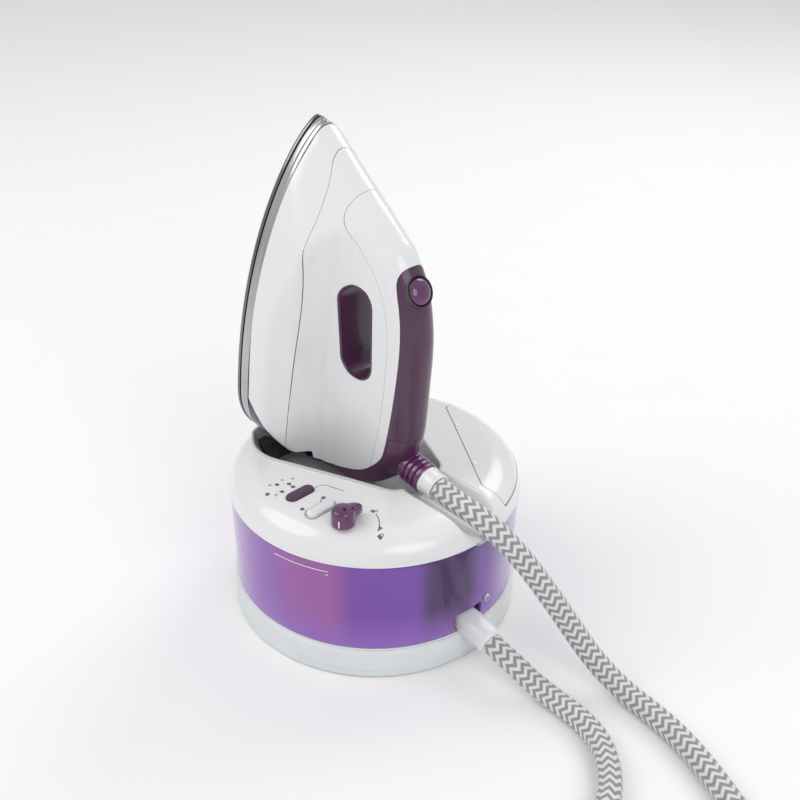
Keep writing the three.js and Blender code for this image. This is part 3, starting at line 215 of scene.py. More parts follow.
def inside(x, y, outline):
    """Signed distance to a closed outline, below 0 inside it."""
    a = np.array(outline, float)
    b = np.roll(a, -1, 0)
    odd = np.zeros(x.shape, bool)
    for (ax, ay), (bx, by) in zip(a, b):
        if ay != by:
            odd ^= ((ay > y) != (by > y)) & (x < (bx - ax) * (y - ay) / (by - ay) + ax)
    return np.where(odd, -1, 1) * distance_to_line(x, y, a)


# ------------------------------------------------------------------ meshes
def add_object(name, mesh, place=TO_METRES):
    mesh.transform(place)
    obj = bpy.data.objects.new(name, mesh)
    bpy.context.scene.collection.objects.link(obj)
    return obj


def mesh_object(name, verts, faces):
    mesh = bpy.data.meshes.new(name)
    mesh.from_pydata([tuple(v) for v in verts], [], [tuple(f) for f in faces])
    return add_object(name, mesh)


def to_object(name, bm, place=TO_METRES):
    mesh = bpy.data.meshes.new(name)
    bm.to_mesh(mesh)
    bm.free()
    return add_object(name, mesh, place)


def grid_faces(rows, columns, wrap=False):
    """The faces of a grid of points, row after row, joined round at the sides if it wraps."""
    made = []
    for i in range(rows - 1):
        for j in range(columns if wrap else columns - 1):
            k = (j + 1) % columns
            made.append((i * columns + j, i * columns + k, (i + 1) * columns + k, (i + 1) * columns + j))
    return made


def tube_faces(rows, count):
    """The faces of a tube of rings, with both ends closed."""
    return grid_faces(rows, count, wrap=True) + [tuple(range(count)), tuple(range((rows - 1) * count, rows * count))]


def solid_of(verts, faces):
    """A mesh in the making, its faces turned outward."""
    bm = bmesh.new()
    made = [bm.verts.new(v) for v in verts]
    for f in faces:
        bm.faces.new([made[i] for i in f])
    bmesh.ops.recalc_face_normals(bm, faces=bm.faces[:])
    return bm


def facing(bm, way):
    """Turns a surface over if its faces look the other way from that on the whole."""
    if sum(way(f) * f.calc_area() for f in bm.faces) < 0:
        bmesh.ops.reverse_faces(bm, faces=bm.faces[:])
    return bm


def cut_away(bm, field):
    """Keeps the part of a surface where the field is below 0, with a clean edge where it is 0."""
    layer = bm.verts.layers.float.get("field") or bm.verts.layers.float.new("field")
    bm.verts.ensure_lookup_table()
    bm.verts.index_update()
    co = np.array([v.co for v in bm.verts])
    value = field(*co.T)
    value[np.abs(value) < 0.02] = 0
    edges = [e for e in bm.edges if value[e.verts[0].index] * value[e.verts[1].index] < 0]
    edge_set = [v for v in bm.verts if value[v.index] == 0]
    for i, v in enumerate(bm.verts):
        v[layer] = value[i]
    if edges:
        first = np.array([e.verts[0].co for e in edges])
        last = np.array([e.verts[1].co for e in edges])
        low = np.array([e.verts[0][layer] for e in edges])
        high = np.array([e.verts[1][layer] for e in edges])
        t0, t1, f0, f1 = np.zeros(len(edges)), np.ones(len(edges)), low.copy(), high.copy()
        for _ in range(4):
            t = t0 + (t1 - t0) * f0 / (f0 - f1)
            f = field(*(first + (last - first) * t[:, None]).T)
            same = f * f0 > 0
            t0, f0 = np.where(same, t, t0), np.where(same, f, f0)
            t1, f1 = np.where(same, t1, t), np.where(same, f1, f)
            f0, f1 = np.where(f0 == 0, 1e-9, f0), np.where(f1 == 0, -1e-9 * np.sign(f0), f1)
        for e, at in zip(edges, np.clip(t, 0.01, 0.99)):
            _, v = bmesh.utils.edge_split(e, e.verts[0], float(at))
            v[layer] = 0.0
            edge_set.append(v)
    if edge_set:
        bmesh.ops.connect_verts(bm, verts=edge_set, check_degenerate=False)
    gone = [f for f in bm.faces if sum(v[layer] for v in f.verts) > 0]
    bmesh.ops.delete(bm, geom=gone, context="FACES")
    bmesh.ops.remove_doubles(bm, verts=bm.verts[:], dist=0.015)


def piece_of(surface, *fields):
    """A copy of a surface, given as (verts, faces), cut down by each field."""
    bm = bmesh.new()
    verts = [bm.verts.new(v) for v in surface[0]]
    for f in surface[1]:
        bm.faces.new([verts[i] for i in f])
    bmesh.ops.remove_doubles(bm, verts=bm.verts[:], dist=0.004)
    for field in fields:
        cut_away(bm, field)
    bmesh.ops.delete(bm, geom=[v for v in bm.verts if not v.link_faces], context="VERTS")
    return bm


def settle(obj, sharp=38.0, weighted=True):
    """Applies the modifiers, then smooths all but the sharp edges."""
    bpy.context.view_layer.update()
    done = bpy.data.meshes.new_from_object(obj.evaluated_get(bpy.context.evaluated_depsgraph_get()))
    obj.modifiers.clear()
    obj.data = done
    done.polygons.foreach_set("use_smooth", [True] * len(done.polygons))
    done.set_sharp_from_angle(angle=sharp * DEG)
    if weighted:
        normals = obj.modifiers.new("even_normals", "WEIGHTED_NORMAL")
        normals.keep_sharp = True
    return obj


def thicken(obj, wall, edge=0.3, sharp=38.0):
    """Gives a surface a wall on its inner side and rounds the wall's edges."""
    solid = obj.modifiers.new("wall", "SOLIDIFY")
    solid.thickness, solid.offset = wall * MM, -1
    solid.use_even_offset = False
    if edge:
        round_edges(obj, edge, 55)
    return settle(obj, sharp)


def round_edges(obj, width, angle, segments=3):
    """Bevels the edges that are sharper than the angle."""
    bevel = obj.modifiers.new("edges", "BEVEL")
    bevel.width, bevel.segments, bevel.limit_method = width * MM, segments, "ANGLE"
    bevel.angle_limit = angle * DEG
    bevel.use_clamp_overlap = True
    return obj


def lathe(name, profile, facets=192, place=TO_METRES):
    """A closed profile of (radius, height) turned round the axis."""
    angles = np.linspace(0, 2 * math.pi, facets, endpoint=False)
    verts = [(r * math.cos(t), r * math.sin(t), z) for r, z in profile for t in angles]
    last = (len(profile) - 1) * facets
    faces = grid_faces(len(profile), facets, wrap=True)
    faces += [(last + j, last + (j + 1) % facets, (j + 1) % facets, j) for j in range(facets)]
    return to_object(name, solid_of(verts, faces), place)


def pill(centre, length, width, steps=14):
    """A pill-shaped outline along Y."""
    r, (x, y) = width / 2, centre
    half = length / 2 - r
    return arc(r, 0, math.pi, steps, (x, y + half)) + arc(r, math.pi, 2 * math.pi, steps, (x, y - half))


def circle(centre, radius, steps):
    return arc(radius, 0, 2 * math.pi, steps + 1, centre)[:-1]


def sweep(name, line, radius, sides, relief):
    """A closed tube along a line of points, with a UV map of (turns round, decimetres along)."""
    p = np.array(line, float)
    n = len(p)
    tangent = units_along(p)
    side = np.cross(tangent[0], (0, 0, 1.0))
    sides_of = [side / np.linalg.norm(side)]
    for i in range(1, n):
        s = sides_of[-1] - tangent[i] * np.dot(sides_of[-1], tangent[i])
        sides_of.append(s / np.linalg.norm(s))
    across = np.array(sides_of)
    up = np.cross(across, tangent)
    along = np.concatenate([[0], np.cumsum(np.linalg.norm(np.diff(p, axis=0), axis=1))])
    turn = np.arange(sides) / sides
    r = radius + relief(turn[None, :], along[:, None])
    ring = (np.cos(2 * math.pi * turn)[None, :, None] * across[:, None, :]
            + np.sin(2 * math.pi * turn)[None, :, None] * up[:, None, :])
    verts = (p[:, None, :] + r[:, :, None] * ring).reshape(-1, 3)
    faces = [f[::-1] for f in grid_faces(n, sides, wrap=True)]
    faces += [tuple(range(sides)), tuple(range((n - 1) * sides, n * sides))[::-1]]
    obj = mesh_object(name, verts, faces)
    uv = obj.data.uv_layers.new(name="along").data
    for poly in obj.data.polygons:
        columns = [obj.data.loops[i].vertex_index % sides for i in poly.loop_indices]
        wraps = max(columns) - min(columns) > sides / 2
        for i, column in zip(poly.loop_indices, columns):
            row = obj.data.loops[i].vertex_index // sides
            uv[i].uv = ((column + (sides if wraps and column == 0 else 0)) / sides, along[row] / 100)
    return settle(obj, 60, False)


# ------------------------------------------------------------------ materials
class Graph:
    """A new material's nodes, round its own Principled shader."""

    def __init__(self, name):
        self.material = bpy.data.materials.new(name)
        self.material.use_nodes = True
        self.nodes, self.links = self.material.node_tree.nodes, self.material.node_tree.links
        self.shader = self.nodes["Principled BSDF"]

    def wire(self, node, sockets):
        """Sets a node's sockets: to another node's output where the value is one, or else to the value."""
        for name, value in sockets.items():
            if isinstance(value, bpy.types.NodeSocket):
                self.links.new(value, node.inputs[name])
            else:
                node.inputs[name].default_value = value

    def add(self, kind, sockets, **settings):
        node = self.nodes.new("ShaderNode" + kind)
        for name, value in settings.items():
            setattr(node, name, value)
        self.wire(node, sockets)
        return node

    def sum(self, operation, *values):
        return self.add("Math", dict(enumerate(values)), operation=operation).outputs[0]

    def ramp(self, value, stops, interpolation="LINEAR"):
        """A colour ramp through (position, colour) stops; the first two need not be its ends."""
        node = self.add("ValToRGB", {"Fac": value})
        node.color_ramp.interpolation = interpolation
        elements = node.color_ramp.elements
        for element, (position, colour) in zip(elements, stops):
            element.position, element.color = position, (*colour, 1)
        for position, colour in stops[2:]:
            elements.new(position).color = (*colour, 1)
        return node.outputs["Color"]

    def bump(self, height, strength, distance):
        node = self.add("Bump", {"Height": height, "Strength": strength, "Distance": distance})
        self.wire(self.shader, {"Normal": node.outputs["Normal"]})


def add_material(name, colour, roughness, metallic=0.0, vary=0.04, grain=None, coat=0.0, sockets=None):
    """A plastic or metal: slow colour change, uneven gloss and a fine grain, from noise in the object's space."""
    g = Graph(name)
    place = g.add("TexCoord", {}).outputs["Object"]
    slow, fine = (g.add("TexNoise", {"Vector": place, "Scale": scale, "Detail": detail}).outputs["Fac"]
                  for scale, detail in ((18, 2), (260, 3)))
    tone = g.ramp(slow, [(0.3, [c * (1 - vary) for c in colour]), (0.7, [min(1, c * (1 + vary)) for c in colour])])
    gloss = g.add("MapRange", {"Value": fine, "To Min": roughness - 0.03, "To Max": roughness + 0.03})
    g.wire(g.shader, {"Metallic": metallic, "Coat Weight": coat, "Coat Roughness": 0.06, "Base Color": tone,
                      "Roughness": gloss.outputs["Result"], **(sockets or {})})
    if grain:
        size, depth = grain
        texture = g.add("TexNoise", {"Vector": place, "Scale": size, "Detail": 4})
        g.bump(texture.outputs["Fac"], 0.35, depth)
    return g


def material(*values, **options):
    return add_material(*values, **options).material


def tank_material():
    """Violet clear plastic with painted light and shade round its wall: lavender and pink painted highlights and a
    dark painted band of shade, set by the angle round the axis, fading to an even violet low down.
    """
    g = add_material("tank_violet", (0.24, 0.08, 0.5), 0.16, coat=0.5, grain=(900, 0.00002))
    g.wire(g.shader, {"Subsurface Weight": 0.15, "Subsurface Radius": (0.01, 0.005, 0.02)})
    place = g.add("TexCoord", {}).outputs["Object"]
    split = g.add("SeparateXYZ", {"Vector": place})
    around = g.sum("ARCTAN2", split.outputs["Y"], split.outputs["X"])
    share = g.add("MapRange", {"Value": around, "From Min": -math.pi, "From Max": math.pi})
    lavender, lilac, mauve = (0.40, 0.27, 0.58), (0.29, 0.14, 0.46), (0.24, 0.09, 0.42)
    violet, pink, deep = (0.165, 0.045, 0.36), (0.31, 0.085, 0.34), (0.05, 0.014, 0.10)
    # painted light and shade: lighter lavender and pink painted highlights and a dark painted band of shade, placed by
    # angle round the tank
    painted_light_tint = g.ramp(share.outputs["Result"], [
        (0.0, violet), (1.0, violet), (0.1, lavender), (0.16, lilac), (0.25, mauve), (0.31, pink), (0.335, pink),
        (0.365, violet), (0.425, violet), (0.445, deep), (0.485, deep), (0.51, violet), (0.56, lavender),
        (0.66, lavender), (0.75, violet)], "EASE")
    # the painted light and shade fade out to an even violet low on the wall
    height = g.add("MapRange", {"Value": split.outputs["Z"], "From Min": 0.027, "From Max": 0.06})
    painted_light_blend = g.add("Mix", {}, data_type="RGBA")
    g.wire(painted_light_blend, {"A": (0.27, 0.11, 0.50, 1), "B": painted_light_tint, "Factor": height.outputs["Result"]})
    g.wire(g.shader, {"Base Color": painted_light_blend.outputs["Result"]})
    return g.material


def braid_height(turn, along):
    """The braid's chevrons: zigzags round the hose, 1 on a raised white strand and 0 in the grey between."""
    zigzag = np.abs(((turn * BRAID_TEETH) % 1) * 2 - 1)
    wave = (along / BRAID_PITCH + zigzag * BRAID_SLANT) % 1
    return smooth(wave, 0.0, 0.14) * (1 - smooth(wave, 0.5, 0.64))


def braid_material():
    """White strands with grey between, in chevrons along the hose's UV map, each strand of fine twisted threads."""
    g = Graph("hose_braid")
    uv = g.add("UVMap", {}, uv_map="along").outputs["UV"]
    split = g.add("SeparateXYZ", {"Vector": uv})
    fraction = g.sum("FRACT", g.sum("MULTIPLY", split.outputs["X"], float(BRAID_TEETH)))
    zigzag = g.sum("ABSOLUTE", g.sum("MULTIPLY_ADD", fraction, 2.0, -1.0))
    row = g.sum("MULTIPLY_ADD", split.outputs["Y"], 100 / BRAID_PITCH, g.sum("MULTIPLY", zigzag, BRAID_SLANT))
    grey, white = (0.33, 0.33, 0.335), (0.84, 0.84, 0.85)
    strands = g.ramp(g.sum("FRACT", row), [(0.0, grey), (0.13, white), (0.5, white), (0.62, grey), (1.0, grey)])
    stretch = g.add("Mapping", {"Vector": uv, "Scale": (6.0, 12.0, 1.0)})
    threads = g.add("TexWave", {"Vector": stretch.outputs["Vector"], "Scale": 9.0, "Distortion": 1.5},
                    wave_type="BANDS", bands_direction="DIAGONAL")
    shade = g.add("Mix", {}, data_type="RGBA", blend_type="MULTIPLY")
    g.wire(shade, {"A": strands, "B": threads.outputs["Color"], "Factor": 0.16})
    g.wire(g.shader, {"Roughness": 0.85, "Sheen Weight": 0.25, "Base Color": shade.outputs["Result"]})
    g.bump(threads.outputs["Fac"], 0.5, 0.0003)
    return g.material


MATERIALS = {
    "white": material("white_gloss", (0.77, 0.77, 0.785), 0.2, vary=0.012, coat=0.35, grain=(700, 0.00001)),
    "plum": material("plum_satin", (0.068, 0.020, 0.060), 0.3, vary=0.10, coat=0.25, grain=(1100, 0.00003)),
    "bright": material("plum_gloss", (0.10, 0.018, 0.095), 0.16, vary=0.12, coat=0.6),
    "tank": tank_material(),
    "foot": material("foot_frosted", (0.74, 0.74, 0.755), 0.32, vary=0.05, grain=(800, 0.00003),
                     sockets={"Subsurface Weight": 0.2}),
    "grey": material("tray_grey", (0.56, 0.565, 0.58), 0.38, vary=0.04, grain=(900, 0.00004)),
    "dark": material("dark_plastic", (0.045, 0.045, 0.048), 0.42, vary=0.15, grain=(900, 0.00006)),
    "rubber": material("foot_rubber", (0.03, 0.03, 0.032), 0.8, vary=0.2, grain=(500, 0.0001)),
    "print": material("grey_print", (0.13, 0.13, 0.135), 0.5, vary=0.1, grain=(1500, 0.00002)),
    "print_white": material("white_print", (0.85, 0.85, 0.87), 0.5, vary=0.03, grain=(1500, 0.00002)),
    "lamp": material("lamp_lens", (0.42, 0.44, 0.43), 0.15, vary=0.08, coat=0.5),
    "edge": material("sole_edge", (0.20, 0.20, 0.21), 0.14, metallic=1.0, vary=0.1, grain=(300, 0.00002)),
    "chrome": material("dark_chrome", (0.45, 0.455, 0.465), 0.2, metallic=1.0, vary=0.12, grain=(300, 0.00003)),
    "steel": material("steel", (0.55, 0.55, 0.57), 0.3, metallic=1.0, vary=0.08, grain=(700, 0.00004)),
    "braid": braid_material(),
}


def dress(obj, look, body, *nodes, slot=None):
    """Gives a piece its material, its body and the CAD nodes that it stands for."""
    obj.data.materials.clear()
    obj.data.materials.append(MATERIALS[look])
    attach(obj, body)
    if nodes:
        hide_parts(*nodes)
    return obj


# ------------------------------------------------------------------ camera
def put_camera(azimuth, elevation, distance, target, lens, shift):
    """A camera at a distance from its target, in degrees round from -Y and up."""
    a, e = azimuth * DEG, elevation * DEG
    way = Vector((math.sin(a) * math.cos(e), -math.cos(a) * math.cos(e), math.sin(e)))
    data = bpy.data.cameras.new("camera")
    data.lens, data.sensor_width = lens, 36
    data.shift_x, data.shift_y = shift
    data.clip_start, data.clip_end = 0.05, 30
    camera = bpy.data.objects.new("camera", data)
    camera.location = (Vector(target) + way * distance) * MM
    camera.rotation_euler = way.to_track_quat("Z", "Y").to_euler()
    bpy.context.scene.collection.objects.link(camera)
    bpy.context.scene.camera = camera


put_camera(48, 37.3, 877.5, (0, 0, 58.5), 47.84, (0.0318, 0.1569))


# ------------------------------------------------------------------ the steam hose
def iron_point(c, b, a):
    """A point of the iron's frame, in the base's."""
    t = IRON_TILT * DEG
    return SOLE_X + c * math.cos(t) + a * math.sin(t), b, HEEL_Z - c * math.sin(t) + a * math.cos(t)


def exit_point(along, dip):
    """A point on the base's hose exit: so far out from the axis, so much below the exit's height."""
    t = EXIT_ANGLE * DEG
    return along * math.cos(t), along * math.sin(t), EXIT_HEIGHT - dip


SLEEVE_END = COLLAR_START + COLLAR_LENGTH + 0.3 + IRON_SLEEVE_LENGTH
BASE_SLEEVE = [exit_point(102.5, 0), exit_point(114.5, 0.8), exit_point(131, 2.75), exit_point(141, 5)]
TABLE = HOSE_RADIUS + 0.4
BASE_WAY = np.array(BASE_SLEEVE[3]) - np.array(BASE_SLEEVE[2])
BASE_WAY /= np.linalg.norm(BASE_WAY)
UPPER_ROUTE = [iron_point(SLEEVE_END + d, 0, COLLAR_LEVEL) for d in (0.5, 5, 12)] + [
    (103, 2.5, 128), (119, 7.5, 120), (133, 13, 109), (146, 19, 95), (158, 25, 79), (170, 31, 62), (183, 36, 45),
    (198, 40, 29), (215, 43, 17), (234, 44, 10.5), (256, 43, TABLE), (284, 38, TABLE), (314, 28, TABLE),
    (344, 15, TABLE), (374, 1, TABLE), (408, -12, TABLE)]
LOWER_ROUTE = [tuple(np.array(BASE_SLEEVE[3]) + BASE_WAY * d) for d in (0.5, 6)] + [
    (164, -6, 23), (178, -3.5, 16), (193, -1, 11), (208, 0, TABLE), (226, -1, TABLE), (246, -7, TABLE),
    (264, -19, TABLE), (280, -37, TABLE), (292, -60, TABLE), (301, -88, TABLE), (308, -118, TABLE),
    (318, -149, TABLE), (333, -179, TABLE), (354, -204, TABLE)]


def coil_points():
    """One and a half turns: in from the side on the table, up onto itself, and down over the outside again."""
    lift = 2 * HOSE_RADIUS + 0.2
    entry = 106.7
    made = []
    for angle in np.arange(72.0, -452.0, -15.0):
        radius, height = COIL_RADIUS, TABLE
        if angle > -20:
            radius = entry - (entry - COIL_RADIUS) * smooth(-angle, -80, 20)
        if angle < -245:
            height = TABLE + lift * smooth(-angle, 245, 315)
        if angle < -380:
            roll = smooth(-angle, 380, 450) * math.pi / 2
            radius += (lift + 1.2) * math.sin(roll)
            height = TABLE + (lift + 0.2) * math.cos(roll)
        made.append((COIL_CENTRE[0] + radius * math.cos(angle * DEG), COIL_CENTRE[1] + radius * math.sin(angle * DEG),
                     height))
    return made


HOSE_ROUTE = UPPER_ROUTE + coil_points() + LOWER_ROUTE[::-1]
HOSE_LINE = even(curve_through(HOSE_ROUTE, steps=24), 1.1, closed=False)
HOSE_LENGTH = float(np.linalg.norm(np.diff(HOSE_LINE, axis=0), axis=1).sum()) * MM

hose = sweep("steam_hose", HOSE_LINE, HOSE_RADIUS - 0.55, 72,
             lambda turn, along: BRAID_RELIEF * braid_height(turn, along))
hose.data.materials.append(MATERIALS["braid"])
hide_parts("hose_upper_run", "hose_lower_run", "hose_coil")
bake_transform(hose)


def coil_tie(width=9.0, wall=0.32, steps=30):
    """A soft strap round both turns of the coil, where they lie on each other."""
    inner = HOSE_RADIUS + 0.05
    outer = inner + wall
    shape = arc(1, 0, math.pi, steps) + arc(1, math.pi, 2 * math.pi, steps)
    heights = [TABLE + 2 * HOSE_RADIUS + 0.2] * steps + [TABLE] * steps
    middle = COIL_CENTRE[0] + COIL_RADIUS + 1.2
    verts = []
    for y, r in ((-width / 2, inner), (-width / 2, outer), (width / 2, outer), (width / 2, inner)):
        verts += [(middle + (r + 1.6) * x, COIL_CENTRE[1] + y, h + r * z) for (x, z), h in zip(shape, heights)]
    count = 2 * steps
    faces = [(i * count + j, i * count + k, (i + 1) % 4 * count + k, (i + 1) % 4 * count + j)
             for i in range(4) for j, k in ((j, (j + 1) % count) for j in range(count))]
    return settle(to_object("coil_tie", solid_of(verts, faces)))


dress(coil_tie(), "dark", "base")


# ------------------------------------------------------------------ the base's top
def dome_height(radius):
    """The housing's height so far from the axis, without the hollow: a flat crown and a round shoulder."""
    share = np.clip((radius - (RIM_RADIUS - SHOULDER)) / SHOULDER, 0, 1)
    crown = CROWN * np.clip(1 - radius / (RIM_RADIUS - SHOULDER), 0, 1)
    return RIM_HEIGHT + DOME_RISE * np.sqrt(np.clip(1 - share ** 2, 0, 1)) + crown


def top_height(x, y):
    """The housing's outside, with the hollow under the hose."""
    dome = dome_height(np.hypot(x, y))
    way = np.clip((x - 40) / 87, 0, 1.2)
    axis_y, axis_z = 7 * way, 138 - 10 * way
    reach = 18.5 ** 2 - (y - axis_y) ** 2
    bank = axis_z - 6.3 + 2.9 * (np.abs(y - axis_y) - 17.4)
    hollow = np.where(reach > 40, axis_z - np.sqrt(np.clip(reach, 40, None)), bank)
    hollow = np.where(x > 30, hollow + np.clip(56 - x, 0, 30) ** 2 * 0.05, 400)
    return soft_min(dome, hollow, 8.0)


def top_surface(rings=210, facets=480):
    """The dome as a fine grid, closer together at the shoulder."""
    share = np.linspace(0, 1, rings)
    radius = np.where(share < 0.5, share * 2 * 80, 80 + 35 * np.sin((share - 0.5) * math.pi))
    radius = np.sort(np.clip(radius, 0.5, RIM_RADIUS))
    angle = np.linspace(0, 2 * math.pi, facets, endpoint=False)
    x, y = np.outer(radius, np.cos(angle)), np.outer(radius, np.sin(angle))
    z = top_height(x, y)
    verts = np.stack([x, y, z], 2).reshape(-1, 3)
    low = verts[-facets:] * (1, 1, 0) + (0, 0, RIM_HEIGHT - 0.2)
    verts = np.vstack([verts, low])
    faces = [f[::-1] for f in grid_faces(rings + 1, facets, wrap=True)]
    faces.append(tuple(range(facets)))
    return verts, faces


TRAY_OUTLINE = even(rounded([(-97, -46), (-62, -71), (52, -24), (52, 24), (-62, 71), (-97, 46)],
                            [5, 22, 9, 9, 22, 5], 12), 1.4)


def lid_edge(less):
    """The lid's outline in plan, drawn in on each side."""
    slip, radius = less / LID_EDGE, LID_EDGE - less
    first, last = LID_ENDS[0] * DEG + slip, LID_ENDS[1] * DEG - slip
    ends = [((LID_CHORD + less) / math.cos(t - LID_ANGLE * DEG) * math.cos(t),
             (LID_CHORD + less) / math.cos(t - LID_ANGLE * DEG) * math.sin(t)) for t in (first, last)]
    return even(rounded([ends[0], *arc(radius, first, last, 60), ends[1]], [3] + [0.3] * 60 + [3], 4), 1.2)


def outside_of(outline):
    return lambda x, y, z: -inside(x, y, outline)


def within(outline):
    return lambda x, y, z: inside(x, y, outline)


TOP = top_surface()
BUTTON_HOLE = [size + 1.0 for size in BUTTON_SIZE]
top = to_object("top_housing_shell", piece_of(
    TOP, outside_of(TRAY_OUTLINE), outside_of(lid_edge(0.0)),
    outside_of(pill(POWER_AT, *BUTTON_HOLE)), outside_of(pill(CLEAN_AT, *BUTTON_HOLE))))
thicken(top, 2.2, 0.35)
dress(top, "white", "base", "top_housing", slot="white_shell")

lid = to_object("fill_lid_plate", piece_of(TOP, within(lid_edge(LID_CLEARANCE))))
thicken(lid, 2.4, 0.4)
dress(lid, "white", "fill_lid", "fill_lid", slot="white_shell")


def tray():
    """The rest's walls and floor, hung from a small lip on the housing."""
    p = TRAY_OUTLINE
    out = units_outward(p)
    edge = top_height(p[:, 0], p[:, 1])
    rows = []
    for offset, height in ((1.7, -2.0), (1.7, 0.7), (1.3, 1.2), (0.4, 1.3), (-0.2, 1.0), (-0.6, 0.2)):
        rows.append(np.column_stack([p + out * offset, edge + height]))
    for share in (0.1, 0.3, 0.5, 0.7, 0.86, 0.93, 0.97, 1.0):
        z = edge * (1 - share) + TRAY_FLOOR * share
        lean = 0.6 + TRAY_DRAFT * (edge - z) + 2.2 * max(0, (share - 0.86) / 0.14) ** 2
        rows.append(np.column_stack([p - out * lean[:, None], z]))
    faces = grid_faces(len(rows), len(p), wrap=True) + [tuple(range((len(rows) - 1) * len(p), len(rows) * len(p)))]
    bm = facing(solid_of(np.vstack(rows), faces), lambda f: f.normal.z)
    return thicken(to_object("rest_tray_pocket", bm), 1.6, 0)


dress(tray(), "grey", "base", "rest_tray", slot="grey_tray")

# ------------------------------------------------------------------ tank, foot and rim
WALL_TOP = 107.2  # the tank wall's upper edge, under the housing's rim


def notch_field(x, y, z):
    """Above 0 in the notch round the hose's exit."""
    _, across = turned_in_plane(x, y, -EXIT_ANGLE * DEG)
    box = np.maximum(np.abs(across) - NOTCH_HALF, z - NOTCH_TOP)
    return np.where(x > 0, -box, -50.0)


def tank(facets=360):
    """The tank's wall in fine rows, cut out round the hose's exit."""
    angle = np.linspace(0, 2 * math.pi, facets, endpoint=False)
    rows = [(112.4, 27.6), (113.5, 28.0), (114.2, 29.2), (TANK_RADIUS, 31.0)]
    rows += [(TANK_RADIUS, z) for z in np.linspace(33, WALL_TOP - 1.2, 40)]
    rows += [(114.2, WALL_TOP - 0.3), (113.2, WALL_TOP)]
    verts = [(r * math.cos(t), r * math.sin(t), z) for r, z in rows for t in angle]
    wall = (verts, grid_faces(len(rows), facets, wrap=True))
    return thicken(to_object("water_tank_wall", piece_of(wall, notch_field)), 2.4, 0.5)


dress(tank(), "tank", "base", "water_tank", slot="tank")
band = lathe("rim_band_ring", [(109.4, 104.3), (111.4, 104.3), (111.4, 107.4), (114.6, 107.4), (115.2, 107.6),
                               (115.3, 108.0), (115.0, 108.3), (109.4, 108.3)])
dress(settle(band), "white", "base", "rim_band", slot="white_shell")

foot_rows = [(0.1, 3), (FOOT_RADIUS - 5, 3)]
foot_rows += [(FOOT_RADIUS - less, z) for less, z in (
    (3.8, 2.4), (3.4, 1.2), (2.6, 0.7), (0.8, 0.7), (0.15, 1.3), (0, 2.6), (0, 6.2), (0.5, 6.6), (0.5, 7.2), (0, 7.6),
    (0, 22), (0.2, 25), (1.0, 26.4), (2.2, 26.9))]
foot_rows.append((0.1, 26.9))
foot = lathe("foot_shell", foot_rows)
dress(settle(foot), "foot", "base", "base_plate", slot="frosted_foot")
edge = lathe("tank_edge_line", [(112.6, 27.0), (TANK_RADIUS, 27.0), (114.75, 27.3), (114.75, 27.8),
                                (TANK_RADIUS, 28.0), (112.6, 27.6)])
dress(settle(edge), "print_white", "base")


# ------------------------------------------------------------------ the iron
BACK = [(CASTING_TOP, -HEEL_REACH), (30, -9), (53, -12.5), (81, -8), (103, 1), (118, 12), (128, 24), (134, 38),
        (137.5, 55), (138, 66), (137, 85), (135.5, 105), (134, 125), (132, 140), (129, 153), (124.5, 167), (118, 180),
        (110, 191), (102, 200), (93, 205.5), (82, 212), (64, 222), (40, 236), (28, 243.5), (CASTING_TOP, 252.5)]
SPREAD_AT = [13, 22, 30, 45, 52, 60, 70, 85, 100, 140]
SPREAD = [63.0, 62.0, 59.5, 47, 35, 24.5, 19.5, 17, 16.2, 15.8]
SKIRT_SEAM = curve_through([(-20, 43), (0, 43.5), (50, 44.5), (100, 46), (145, 47.5), (175, 47), (200, 44.5),
                            (222, 39), (240, 31), (256, 23)], steps=8)


def sole_half(a):
    """The sole's half width so far from the heel's line: a long curve to the tip, a round heel."""
    room = SOLE_LENGTH - WIDEST_AT
    ahead = SOLE_HALF * (1 - np.clip((a - WIDEST_AT) / room, 0, 1) ** 2.25) ** 0.714
    back = np.clip((WIDEST_AT - a) / (WIDEST_AT + HEEL_REACH + 0.2), 0, 1)
    return np.where(a > WIDEST_AT, ahead, SOLE_HALF * np.sqrt(np.clip(1 - back ** 2.4, 0, 1)))


OUTLINE = even(curve_through(BACK, steps=10), 1.0, closed=False)
HEEL_END = int(np.argmin(np.hypot(OUTLINE[:, 0] - 128, OUTLINE[:, 1] - 24)))


def half_width(c, a):
    """The iron's half width over its side view: a rounded ridge along the top, a blunt end at the heel."""
    spread = np.interp(c, SPREAD_AT, SPREAD)
    deep = distance_to_line(c, a, OUTLINE[HEEL_END:], closed=False)
    ridge = np.where(deep < 7, np.sqrt(np.clip(33 * deep - deep ** 2, 0, None)), 13.5 + (deep - 7) * 0.95)
    low = distance_to_line(c, a, OUTLINE[:HEEL_END + 1], closed=False)
    share = np.clip(1 - low / 9, 0, 1)
    blunt = 25 * np.sqrt(1 - share ** 2) + np.clip(low - 9, 0, None) * 1.75
    wide = soft_min(soft_min(soft_min(sole_half(a), spread, 5.0), ridge, 4.0), blunt, 3.0)
    return np.clip(wide, 0, None)


